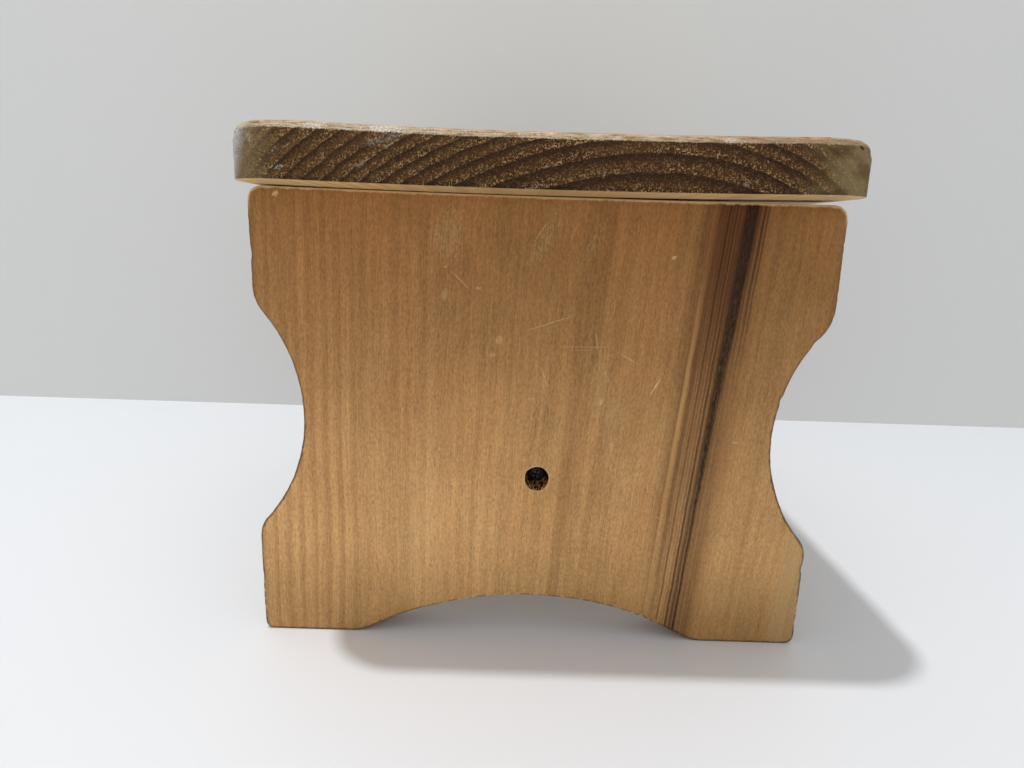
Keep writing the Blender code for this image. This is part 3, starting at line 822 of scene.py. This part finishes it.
def panel_wood(name, offset, with_streak):
    """Finish for an end panel; offset slides the pattern so that two boards differ."""
    material, tree, shader = new_material(name, 0.5, gloss_level=0.18)
    board = millimetres(tree)
    pattern = vector_maths("ADD", board, offset)
    bent, straight, z = leaning_grain(pattern if not with_streak else board, STREAK_LEAN)
    _, pattern_y, pattern_z = split(pattern)
    grain = joined(bent, pattern_y, pattern_z)
    fibres = place_group(WOOD_FIBRES, Grain=grain, Fine_Width=0.42, Streak_Width=2.6)
    # the board grows darker and browner towards its top: painted shade under the overhanging top
    # board
    height = ease(z, 20.0, 205.0)
    colour = mix_colour(height, PALE_WOOD, SHADED_HIGH_WOOD)
    tint = ease(fibres["Patch"], 0.35, 0.65)
    colour = mix_colour(times(tint, 0.26), colour, RED_WOOD)
    olive = ease(noise_of(stretch(grain, (0.03, 0.03, 0.008)), 2.0), 0.5, 0.7)
    colour = mix_colour(times(olive, 0.09), colour, OLIVE_WOOD)
    # growth lines: clear and even near the left edge, faint and uneven elsewhere
    years = plus(over(bent, 6.2), times(fibres["Patch"], 0.5))
    growth = maths("FRACT", years)
    growth_line = times(ease(growth, 0.30, 0.75), ease(growth, 1.0, 0.80))
    clear = ease(bent, -74.0, -84.0, 0.16, 1.0)
    growth_line = times(growth_line, times(clear, ease(fibres["Streak"], 0.30, 0.60, 0.55, 1.0)))
    colour = mix_colour(times(growth_line, 0.34), colour, GROWTH_BROWN)
    # broad bands, a few of them clearly darker, right of the middle
    bands = noise_of(joined(times(bent, 0.10), 3.0, times(pattern_z, 0.0022)), 2.0, 0.6)
    band_depth = ease(bent, -30.0, 40.0, 0.12, 0.36)
    colour = mix_colour(times(ease(bands, 0.50, 0.70), band_depth), colour, GROWTH_BROWN)
    # fibres and soft streaks only lighten or darken
    crumb = noise_of(stretch(grain, (1.1, 1.1, 0.55)), 3.0, 0.65)
    cloud = noise_of(stretch(board, (0.045, 0.045, 0.03)), 3.0, 0.6)
    shade = plus(ease(fibres["Streak"], 0.25, 0.75, 0.90, 1.10),
                 ease(fibres["Fine"], 0.25, 0.75, -0.15, 0.15))
    blotches = plus(ease(crumb, 0.25, 0.75, -0.19, 0.19), ease(cloud, 0.30, 0.70, -0.06, 0.06))
    shade = plus(shade, blotches)
    # the right of the board is darker: partly its own tone, partly painted shade where the light
    # falls off to the right
    shade = times(shade, ease(bent, -10.0, 112.0, 1.0, 0.82))
    low_left = times(ease(bent, 15.0, -35.0), ease(z, 150.0, 75.0))
    shade = plus(shade, times(low_left, 0.19))
    low_right = times(ease(bent, 22.0, 62.0), ease(z, 145.0, 85.0))
    shade = plus(shade, times(low_right, 0.15))
    handled = one_mark(board, -6.0, 163.0, 0.0, 96.0, 84.0, 0.8)
    shade = times(shade, minus(1.0, times(handled, 0.10)))
    # the board darkens towards the floor, and the darker a fibre is, the redder
    shade = times(shade, ease(z, 0.0, 56.0, 0.68, 1.0))
    warm = joined(shade, maths("POWER", shade, 1.06), maths("POWER", shade, 1.22))
    colour = mix_colour(1.0, colour, warm, "MULTIPLY")
    colour = mix_colour(times(fibres["Pores"], 0.45), colour, tone(96, 60, 32))
    gum = noise_of(stretch(grain, (1.5, 1.5, 0.10)), 2.0, 0.5)
    gum_place = noise_of(stretch(grain, (0.03, 0.03, 0.02)), 1.0)
    gum_dash = times(ease(gum, 0.66, 0.72), ease(gum_place, 0.48, 0.60))
    colour = mix_colour(times(gum_dash, 0.55), colour, tone(112, 68, 34))
    if with_streak:
        sapwood = times(ease(straight, 121.0, 125.5), ease(z, 78.0, 55.0))
        colour = mix_colour(times(sapwood, 0.42), colour, tone(196, 164, 116))
        dark, lines, stain, pale = mineral_streak(straight, z)
        colour = mix_colour(stain, colour, STREAK_BROWN)
        colour = mix_colour(pale, colour, STREAK_PALE)
        colour = mix_colour(lines, colour, STREAK_LINE)
        colour = mix_colour(times(dark, 0.97), colour, STREAK_BLACK)
        rubbed = all_marks(board, RUBBED_PATCHES, 2.2)
        rubbed = times(rubbed, ease(plus(crumb, fibres["Fine"]), 0.80, 1.15, 0.15, 1.0))
        colour = mix_colour(rubbed, colour, tone(196, 168, 118))
        marks = all_marks(board, PANEL_MARKS)
    else:
        # the other board carries the first few marks, turned over and fainter
        marks = all_marks(board, [(-x, 200.0 - z, turn, length, width, 0.7 * strength, ragged)
                                  for x, z, turn, length, width, strength, ragged
                                  in PANEL_MARKS[:9]])
    colour = mix_colour(times(marks, ease(crumb, 0.30, 0.55, 0.45, 0.95)), colour,
                        tone(226, 190, 136))
    # sawn walls, the bore, and the rims: worn, burnt, and partly painted shade and highlight
    wall = attribute(tree, "wall")
    rim = attribute(tree, "rim")
    torn = noise_of(stretch(board, (0.9, 0.25, 0.9)), 3.0, 0.65)
    wall_colour = mix_colour(ease(torn, 0.3, 0.7), SAWN_EDGE, tone(158, 112, 66))
    colour = mix_colour(ease(wall, 0.3, 0.9, 0.0, 0.85), colour, wall_colour)
    # the bore's wall is near black, painted shade, with painted glints of light on its lower part
    from_bore = vector_maths("SUBTRACT", board, (0.0, 0.0, BORE_HEIGHT))
    bore_x, _, bore_z = split(from_bore)
    bore_reach = reach_of(bore_x, bore_z)
    in_bore = times(ease(bore_reach, 6.4, 5.6), wall)
    glints = times(ease(torn, 0.46, 0.56), ease(bore_z, -0.5, -3.0))
    bore_shade_and_glints = mix_colour(glints, tone(24, 13, 7), tone(214, 150, 92))
    colour = mix_colour(ease(in_bore, 0.2, 0.5), colour, bore_shade_and_glints)
    # the rims are pale and worn along the top edge, pale round the bore as wear plus a painted
    # highlight, and dark lower down as burnt wood plus painted shade
    rim_noise = noise_of(stretch(board, (0.35, 0.35, 0.35)), 3.0, 0.6)
    rim_mask = ease(plus(rim, times(rim_noise, 0.5)), 0.88, 1.16)
    splinters = times(ease(z, 7.0, 12.0), ease(z, 27.0, 24.0))
    bore_rim_wear_and_highlight = ease(bore_reach, 9.0, 8.0)
    rim_height = most(ease(z, 192.0, 205.0),
                      most(bore_rim_wear_and_highlight, times(splinters, ease(rim_noise, 0.45, 0.60, 0.0, 0.8))))
    rim_colour = mix_colour(rim_height, BURNT_AND_SHADED_RIM, PALE_RIM)
    rim_strength = ease(rim_height, 0.0, 1.0, ease(z, 150.0, 95.0, 0.35, 0.75), 0.85)
    colour = mix_colour(times(rim_mask, rim_strength), colour, rim_colour)
    feed(shader.inputs["Base Color"], colour)
    gloss = plus(ease(fibres["Fine"], 0.2, 0.8, 0.44, 0.58), times(wall, 0.25), clamp=True)
    feed(shader.inputs["Roughness"], gloss)
    pits = plus(times(fibres["Pores"], 0.4), times(marks, 0.8))
    relief = minus(times(fibres["Fine"], 0.5), pits)
    relief = plus(relief, times(times(torn, wall), 1.5))
    add_bump(shader, relief, 0.55, 0.00022)
    return material


front_panel.data.materials.append(panel_wood("tan panel wood", (0.0, 0.0, 0.0), True))
rear_panel.data.materials.append(panel_wood("tan panel wood rear", (310.0, 40.0, 95.0), False))
print("panel woods", [each.name for each in bpy.data.materials if "panel" in each.name])

# %% [markdown]
# ## The top board's shape
#
# The top is a plain-sawn softwood board that has cupped: its long edges have
# risen. It is rounded in plan, its upper edge is rounded over and worn uneven,
# and its lower edge is nearly square. A box is bevelled twice, sliced into a
# grid by bisecting planes, and every vertex is then lifted by the cup. On the
# end faces the soft spring wood has worn back between the hard rings, so those
# vertices move too.

# %% Top board mesh
TOP_LENGTH = 355.8
TOP_WIDTH = 253.8
TOP_THICK = 21.25
TOP_CORNER = 29.5
TOP_ROUND = 5.2
TOP_SEAT = 206.74
TOP_CUP = 1.64
TOP_LEAN = 0.45
HEART_X = 39.2
HEART_DEPTH = 115.2
RING_WIDTH = 5.0


def slice_board(bm, axis, places):
    """Cut the mesh through by planes square to one axis."""
    normal = Vector((0.0, 0.0, 0.0))
    normal[axis] = 1.0
    for place in places:
        geom = bm.verts[:] + bm.edges[:] + bm.faces[:]
        bmesh.ops.bisect_plane(bm, geom=geom, dist=1e-7, plane_co=normal * place, plane_no=normal)


def ring_place(point):
    """Where a point of the end grain lies in its annual ring, 0 to 1 (mm, before the cup)."""
    part = (point.x - HEART_X) / 100.0
    oval = 1.0 + part * (0.30 + 0.114 * part)
    radius = math.sqrt((point.x - HEART_X) ** 2 * oval + (point.z + HEART_DEPTH) ** 2)
    out = (radius - 150.0) / RING_WIDTH
    return (1.01 * out + 0.0151 * out * out + 0.40 * math.sin(out / 2.06) + 6.28) % 1.0


def cup_lift(x):
    """How far the cupped and slightly twisted board stands above its middle (mm)."""
    across = x / 127.0
    return TOP_CUP * across * across + TOP_LEAN * across


def top_blank():
    """The board before wear, in mm, its underside at z = 0."""
    bm = bmesh.new()
    bmesh.ops.create_cube(bm, size=1.0)
    bmesh.ops.scale(bm, vec=(TOP_WIDTH, TOP_LENGTH, TOP_THICK), verts=bm.verts[:])
    bmesh.ops.translate(bm, vec=(0.0, 0.0, TOP_THICK / 2), verts=bm.verts[:])
    upright = [edge for edge in bm.edges if abs(edge.verts[0].co.z - edge.verts[1].co.z) > 1.0]
    bevel(bm, upright, TOP_CORNER, 14)
    nearly_top = TOP_THICK - 0.01
    upper = [edge for edge in bm.edges if min(vert.co.z for vert in edge.verts) > nearly_top]
    bevel(bm, upper, TOP_ROUND, 7)
    lower = [edge for edge in bm.edges if max(vert.co.z for vert in edge.verts) < 0.01]
    bevel(bm, lower, 0.5, 2)
    slice_board(bm, 0, [-124.0 + 2.6 * step for step in range(96)])
    slice_board(bm, 1, [-172.0 + 8.0 * step for step in range(44)])
    slice_board(bm, 2, [1.8 * step for step in range(1, 9)])
    return bm


def wear_top(bm):
    """Spring wood worn back on the ends, dents along the upper edge, then the cup."""
    bm.normal_update()
    moves = []
    for vert in bm.verts:
        point = vert.co.copy()
        normal = vert.normal.copy()
        push = 0.0
        end_facing = abs(normal.y)
        if end_facing > 0.6 and 1.0 < point.z < TOP_THICK - 1.5:
            hard = ring_place(point)
            push += 0.30 * (1.0 - hard) * end_facing
            push += 0.18 * (0.5 + noise.noise(point * 0.9))
        if point.z > TOP_THICK - TOP_ROUND - 0.1 and normal.z < 0.999:
            push += 0.35 + 0.45 * noise.noise(Vector((point.x * 0.06, point.y * 0.06, 3.0)))
            push += 0.22 * noise.noise(Vector((point.x * 0.35, point.y * 0.35, 8.0)))
            dent = noise.noise(Vector((point.x * 0.10 + 40.0, point.y * 0.10, point.z * 0.2)))
            push += 1.6 * max(0.0, dent - 0.42)
        elif normal.z > 0.999:
            push += 0.10 + 0.10 * noise.noise(Vector((point.x * 0.03, point.y * 0.012, 5.0)))
        moves.append((vert, normal * -max(push, 0.0)))
    for vert, move in moves:
        vert.co += move
        fuller = 0.70 * min(1.0, max(0.0, (-vert.co.x - 35.0) / 85.0)) * vert.co.z / TOP_THICK
        vert.co.z += cup_lift(vert.co.x) + fuller


def build_top():
    """The finished board on its seat, in metres, with its faces labelled for the material."""
    bm = top_blank()
    bm.normal_update()
    paint(bm, "end_facing", lambda vert: abs(vert.normal.y))
    paint(bm, "up_facing", lambda vert: vert.normal.z)
    paint(bm, "round_over",
          lambda vert: min(1.0, max(0.0, (vert.co.z - TOP_THICK + TOP_ROUND) / TOP_ROUND)))
    wear_top(bm)
    bmesh.ops.translate(bm, vec=(0.0, 0.0, TOP_SEAT), verts=bm.verts[:])
    bmesh.ops.scale(bm, vec=(MM, MM, MM), verts=bm.verts[:])
    piece = new_object(bm, "worn_top_board")
    smooth_shading(piece, 50.0)
    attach(piece, "top")
    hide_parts("top_board")
    print("worn_top_board", len(piece.data.polygons), "faces")
    return piece


top_board = build_top()

# %% [markdown]
# ## The top board's wood
#
# The same rings run through the whole board, so they are worked out from its
# coordinates: dark arcs on the ends, long figure on the faces. The sawn ends
# have drunk the old stain and are nearly black-brown, with torn, lighter spring
# wood full of small holes. The rounded edge is rubbed to a pale grey-tan, the
# underside was never finished, and the upper face keeps a thin amber finish.

# %% Top wood
END_DARK = tone(36, 22, 12)
END_BROWN = tone(90, 60, 31)
END_FIBRE = tone(184, 150, 102)
CORNER_HIGHLIGHT_GREY = tone(204, 206, 206)
SCUFF_WHITE = tone(232, 230, 222)
ROUND_PALE = tone(202, 184, 154)
ROUND_BROWN = tone(142, 108, 68)
FACE_EARLY = tone(188, 146, 92)
FACE_LATE = tone(146, 98, 56)
UNDER_EARLY = tone(214, 180, 128)
UNDER_LATE = tone(200, 163, 112)
OLIVE_END = tone(120, 98, 62)
OLIVE_PALE = tone(158, 136, 96)

# place x, height above the underside, turn, length, width, strength
END_SCUFFS = [
    (-113.0, 14.5, -60.0, 8.0, 3.2, 0.55),
    (-101.0, 4.5, 20.0, 4.2, 1.6, 0.85),
    (-103.0, 10.5, 40.0, 5.0, 1.2, 0.50),
    (-98.0, 12.0, 35.0, 4.0, 1.0, 0.45),
    (-62.0, 16.2, 20.0, 22.0, 3.4, 0.50),
    (-60.0, 14.2, 38.0, 7.0, 1.2, 0.60),
    (-71.0, 6.8, 35.0, 5.0, 2.6, 0.40),
    (-3.0, 8.2, 10.0, 1.6, 1.4, 0.75),
    (18.5, 6.5, 75.0, 3.4, 1.0, 0.55),
    (71.0, 3.4, -20.0, 4.0, 1.4, 0.50),
    (78.0, 11.6, 20.0, 1.4, 1.0, 0.80),
]
EDGE_SCUFFS = [
    (-62.0, 19.5, 0.0, 16.0, 3.6, 0.75),
    (-88.0, 19.8, 0.0, 11.0, 2.4, 0.70),
    (64.0, 19.0, 0.0, 8.0, 3.0, 0.50),
]


def fibre_shade(fibres):
    """Lighter and darker streaks along the grain, about 1."""
    return plus(ease(fibres["Streak"], 0.25, 0.75, 0.88, 1.10),
                ease(fibres["Fine"], 0.25, 0.75, -0.06, 0.06))


def top_wood():
    """Finish for the top board, with its three kinds of face."""
    material, tree, shader = new_material("dark worn top wood", 0.6, gloss_level=0.14)
    board = millimetres(tree)
    x, y, z = split(board)
    flat = over(x, 127.0)
    lift = plus(times(times(flat, flat), TOP_CUP), times(flat, TOP_LEAN))
    level = minus(minus(z, lift), TOP_SEAT)
    grain = joined(x, y, level)
    rings = place_group(ANNUAL_RINGS, Grain=grain, Heart_X=HEART_X, Heart_Z=-HEART_DEPTH,
                        Ring_Width=RING_WIDTH)
    late = rings["Late"]
    facing_y = attribute(tree, "end_facing")
    facing_z = attribute(tree, "up_facing")
    # end grain: brown, black in the late wood, torn open where each year began
    pores = place_group(TORN_PORES, Grain=grain, Size=0.60)
    crumb = noise_of(stretch(board, (1.4, 1.4, 1.4)), 3.0, 0.65)
    cloud = noise_of(stretch(board, (0.05, 0.05, 0.12)), 3.0, 0.6)
    open_wood = times(ease(rings["Place"], 0.85, 0.05), ease(cloud, 0.30, 0.62, 0.35, 1.0))
    end = mix_colour(times(late, 0.75), END_BROWN, END_DARK)
    grain_shade = ease(crumb, 0.25, 0.75, 0.58, 1.42)
    grain_shade = times(grain_shade, ease(x, -70.0, 0.0, 1.14, 0.84))
    grain_shade = times(grain_shade, ease(level, 0.3, 2.4, 0.55, 1.0))
    end = shaded(end, grain_shade)
    end = mix_colour(ease(cloud, 0.50, 0.70, 0.0, 0.35), end, END_DARK)
    walls = times(pores["Wall"], plus(times(open_wood, 0.85), 0.10))
    end = mix_colour(walls, end, END_FIBRE)
    holes = times(pores["Hole"], plus(times(open_wood, 0.92), 0.22))
    end = mix_colour(holes, end, tone(20, 12, 7))
    corner_noise = times(minus(cloud, 0.5), 22.0)
    right_corner = ease(plus(x, corner_noise), 86.0, 116.0)
    end = mix_colour(times(right_corner, 0.66), end,
                     mix_colour(ease(cloud, 0.38, 0.60), OLIVE_END, OLIVE_PALE))
    left_corner = ease(plus(x, times(corner_noise, 0.5)), -98.0, -116.0)
    end = mix_colour(times(left_corner, 0.55), end,
                     mix_colour(ease(crumb, 0.38, 0.60), OLIVE_END, OLIVE_PALE))
    # the far left corner, where the board turns to the left, carries a painted cool highlight of
    # light from that side
    higher = times(minus(level, 11.0), -0.30)
    far_left_highlight = ease(plus(plus(x, higher), times(corner_noise, 0.3)), -115.5, -124.0)
    end = mix_colour(times(far_left_highlight, ease(crumb, 0.30, 0.60, 0.25, 0.90)), end, CORNER_HIGHLIGHT_GREY)
    whitened = all_marks(grain, END_SCUFFS, 2.0)
    end = mix_colour(times(whitened, ease(crumb, 0.42, 0.60, 0.08, 0.85)), end,
                     tone(190, 180, 162))
    chips = all_marks(grain, [(114.5, 17.6, -25.0, 3.4, 1.5, 0.9, 0.6)])
    end = mix_colour(chips, end, tone(16, 12, 10))
    # long faces
    fibres = place_group(WOOD_FIBRES, Grain=joined(x, level, y), Fine_Width=0.45,
                         Streak_Width=4.0)
    face = mix_colour(late, FACE_EARLY, FACE_LATE)
    under = mix_colour(late, UNDER_EARLY, UNDER_LATE)
    shade = fibre_shade(fibres)
    face = shaded(face, shade)
    under = shaded(under, shade)
    dusty = times(ease(x, -90.0, -10.0), ease(x, 75.0, 15.0))
    under = mix_colour(times(dusty, 0.42), under, tone(160, 122, 80))
    rub = noise_of(stretch(board, (0.06, 0.007, 0.06)), 4.0, 0.65)
    rub = times(ease(rub, 0.48, 0.72, 0.0, 0.42), ease(fibres["Fine"], 0.40, 0.60, 0.4, 1.0))
    face = mix_colour(rub, face, ROUND_PALE)
    # rounded edge, rubbed along its length
    rubbed = joined(times(x, 0.16), times(y, 0.16), times(z, 1.6))
    edge_noise = noise_of(rubbed, 4.0, 0.65)
    edge = mix_colour(ease(edge_noise, 0.34, 0.60), ROUND_BROWN, ROUND_PALE)
    edge = mix_colour(ease(x, 30.0, 100.0, 0.0, 0.60), edge, ROUND_BROWN)
    edge = mix_colour(times(late, 0.16), edge, FACE_LATE)
    white = times(ease(crumb, 0.56, 0.66), ease(x, 60.0, -40.0, 0.25, 0.78))
    edge = mix_colour(white, edge, SCUFF_WHITE)
    whiter = all_marks(grain, EDGE_SCUFFS, 2.0)
    edge = mix_colour(times(whiter, ease(crumb, 0.36, 0.58, 0.1, 0.9)), edge, SCUFF_WHITE)
    # which finish goes where
    turned = attribute(tree, "round_over")
    ragged = times(minus(crumb, 0.5), 0.22)
    on_round = ease(plus(turned, ragged), 0.40, 0.52)
    on_end = ease(facing_y, 0.30, 0.55)
    side = mix_colour(0.45, face, ROUND_BROWN)
    colour = mix_colour(ease(facing_z, 0.35, 0.80), side, face)
    colour = mix_colour(on_end, colour, end)
    rounded = times(on_round, ease(facing_z, 0.995, 0.90))
    colour = mix_colour(rounded, colour, edge)
    colour = mix_colour(ease(facing_z, -0.5, -0.8), colour, under)
    feed(shader.inputs["Base Color"], colour)
    gloss = mix_colour(on_end, (0.50, 0.50, 0.50, 1.0), (0.78, 0.78, 0.78, 1.0))
    feed(shader.inputs["Roughness"], gloss)
    coarse = minus(times(crumb, 0.8), times(holes, 0.9))
    end_relief = times(coarse, on_end)
    face_relief = plus(times(fibres["Fine"], 0.25), times(late, 0.18))
    add_bump(shader, plus(end_relief, face_relief), 0.7, 0.0006)
    return material


top_board.data.materials.append(top_wood())
print("top wood done")

# %% [markdown]
# ## Inner rails and blocks
#
# The stretcher, hinge rail and glue blocks were planed and never finished. Their
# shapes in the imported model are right, so they keep them and get bare wood.

# %% Frame wood


def frame_wood(name, along, offset):
    """Bare planed softwood with its grain along one axis."""
    material, tree, shader = new_material(name, 0.62, gloss_level=0.2)
    board = vector_maths("ADD", millimetres(tree), offset)
    x, y, z = split(board)
    grain = joined(x, z, y) if along == "Y" else joined(x, y, z)
    across_heart = place_group(ANNUAL_RINGS, Grain=board if along == "Y" else joined(x, z, y),
                               Heart_X=-30.0, Heart_Z=-150.0, Ring_Width=3.2)
    fibres = place_group(WOOD_FIBRES, Grain=grain, Fine_Width=0.4, Streak_Width=3.0)
    colour = mix_colour(across_heart["Late"], tone(206, 168, 116), tone(170, 124, 76))
    shade = fibre_shade(fibres)
    colour = shaded(colour, shade)
    dust = noise_of(stretch(board, (0.05, 0.05, 0.05)), 3.0, 0.6)
    colour = mix_colour(ease(dust, 0.5, 0.7, 0.0, 0.3), colour, tone(150, 122, 88))
    feed(shader.inputs["Base Color"], colour)
    tree.links.new(ease(fibres["Fine"], 0.2, 0.8, 0.56, 0.70), shader.inputs["Roughness"])
    add_bump(shader, plus(times(fibres["Fine"], 0.5),
                          times(across_heart["Late"], 0.3)), 0.5, 0.0002)
    return material


def refinish(node, material):
    """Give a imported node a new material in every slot."""
    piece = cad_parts[node]
    for slot in piece.material_slots:
        slot.material = material


refinish("stretcher", frame_wood("bare stretcher wood", "Y", (0.0, 0.0, 0.0)))
refinish("hinge_rail", frame_wood("bare rail wood", "Y", (210.0, 60.0, 31.0)))
refinish("front_glue_block", frame_wood("bare block wood", "Z", (90.0, 0.0, 15.0)))
refinish("rear_glue_block", frame_wood("bare block wood rear", "Z", (140.0, 70.0, 40.0)))

# %% [markdown]
# ## Hinges and screws
#
# The hinges are old brass, dulled brown where air and hands reach it, and the
# stretcher screws are zinc-plated steel gone grey with a little rust, made darker
# still as painted shade, since their heads sit deep in the bores. One metal
# recipe serves both: a clean metal, a tarnish laid over it by noise, and fine
# scratches in the roughness.

# %% Metals


def old_metal(name, clean, tarnish, rust_amount, roughness):
    """Metal with tarnish in cloudy patches."""
    material, tree, shader = new_material(name, roughness, 1.0)
    board = millimetres(tree)
    cloud = noise_of(board, 4.0, 0.6, scale=0.25)
    speck = noise_of(board, 3.0, 0.6, scale=1.8)
    mask = ease(cloud, 0.38, 0.66)
    colour = mix_colour(mask, clean, tarnish)
    rust = ease(speck, 0.58, 0.70, 0.0, rust_amount)
    colour = mix_colour(rust, colour, tone(96, 52, 26))
    feed(shader.inputs["Base Color"], colour)
    scratch = noise_of(stretch(board, (6.0, 0.6, 6.0)), 2.0)
    rough = plus(ease(cloud, 0.3, 0.7, roughness - 0.08, roughness + 0.16),
                 times(scratch, 0.12), clamp=True)
    feed(shader.inputs["Roughness"], rough)
    add_bump(shader, speck, 0.35, 0.00008)
    return material


aged_brass = old_metal("aged brass", tone(196, 160, 88), tone(120, 88, 46), 0.15, 0.32)
# the screw steel is made dark: rust, and painted shade for the heads deep in the bores
rusty_shaded_steel = old_metal("dull screw steel", tone(104, 98, 92), tone(52, 46, 42), 0.85, 0.55)

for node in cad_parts:
    if "leaf" in node or "pin" in node or "rail_screw" in node or "top_screw" in node:
        refinish(node, aged_brass)
    elif "stretcher_screw" in node:
        refinish(node, rusty_shaded_steel)
print("metal nodes finished")

# %% [markdown]
# ## Floor and light
#
# The table stands on a plain pale floor in front of a plain grey backdrop. One
# small lamp, high and a little to the left, throws the clear shadow to the
# right, and an even pale sky fills the rest. The panel stands wholly in the
# shade of the top board, so it is lit by the sky and by the floor.

# %% Floor, backdrop and lights
LAMP_PLACE = (-0.513, FRONT_Y - 0.102, 2.61)
LAMP_WATTS = 33.5
LAMP_SIZE = 0.11
SKY_GREY = 0.63
BACKDROP_Y = 0.281


def stage_sheet(name, corners, material):
    """A flat sheet that isn't part of the object."""
    bm = bmesh.new()
    bm.faces.new([bm.verts.new(corner) for corner in corners])
    sheet = new_object(bm, name)
    sheet.data.materials.append(material)


def plain_finish(name, colour, roughness):
    """A plain painted finish with a barely seen unevenness."""
    material, tree, shader = new_material(name, roughness)
    uneven = noise_of(tree.nodes.new("ShaderNodeTexCoord").outputs["Object"], scale=3.0)
    darker = tuple(part * 0.97 for part in colour[:3]) + (1.0,)
    tree.links.new(mix_colour(uneven, colour, darker), shader.inputs["Base Color"])
    # seen from its far side the sheet is clear, so it never hides the table
    blend = tree.nodes.new("ShaderNodeMixShader")
    tree.links.new(tree.nodes.new("ShaderNodeNewGeometry").outputs["Backfacing"], blend.inputs[0])
    tree.links.new(shader.outputs[0], blend.inputs[1])
    tree.links.new(tree.nodes.new("ShaderNodeBsdfTransparent").outputs[0], blend.inputs[2])
    tree.links.new(blend.outputs[0], tree.nodes["Material Output"].inputs["Surface"])
    return material


def round_lamp(name, place, aim, size, watts):
    """A round area lamp at a place, turned to a point."""
    data = bpy.data.lights.new(name, "AREA")
    data.shape = "DISK"
    data.size = size
    data.energy = watts
    lamp = bpy.data.objects.new(name, data)
    bpy.context.scene.collection.objects.link(lamp)
    lamp.location = place
    lamp.rotation_euler = (Vector(aim) - Vector(place)).to_track_quat("-Z", "Y").to_euler()


stage_sheet("floor", [(-3.0, -3.0, 0.0), (3.0, -3.0, 0.0), (3.0, 3.0, 0.0), (-3.0, 3.0, 0.0)],
            plain_finish("pale floor", tone(234, 237, 241), 0.5))
stage_sheet("backdrop", [(-3.0, BACKDROP_Y, -0.3), (3.0, BACKDROP_Y, -0.3),
                         (3.0, BACKDROP_Y, 2.5), (-3.0, BACKDROP_Y, 2.5)],
            plain_finish("grey backdrop", tone(222, 223, 221), 0.9))
round_lamp("lamp", LAMP_PLACE, (0.0, 0.0, 0.1), LAMP_SIZE, LAMP_WATTS)
world = bpy.data.worlds.new("sky")
world.use_nodes = True
sky = world.node_tree.nodes["Background"]
sky.inputs["Color"].default_value = (SKY_GREY, SKY_GREY, SKY_GREY, 1.0)
bpy.context.scene.world = world
bpy.context.scene.view_settings.view_transform = "Standard"
bpy.context.scene.view_settings.look = "None"
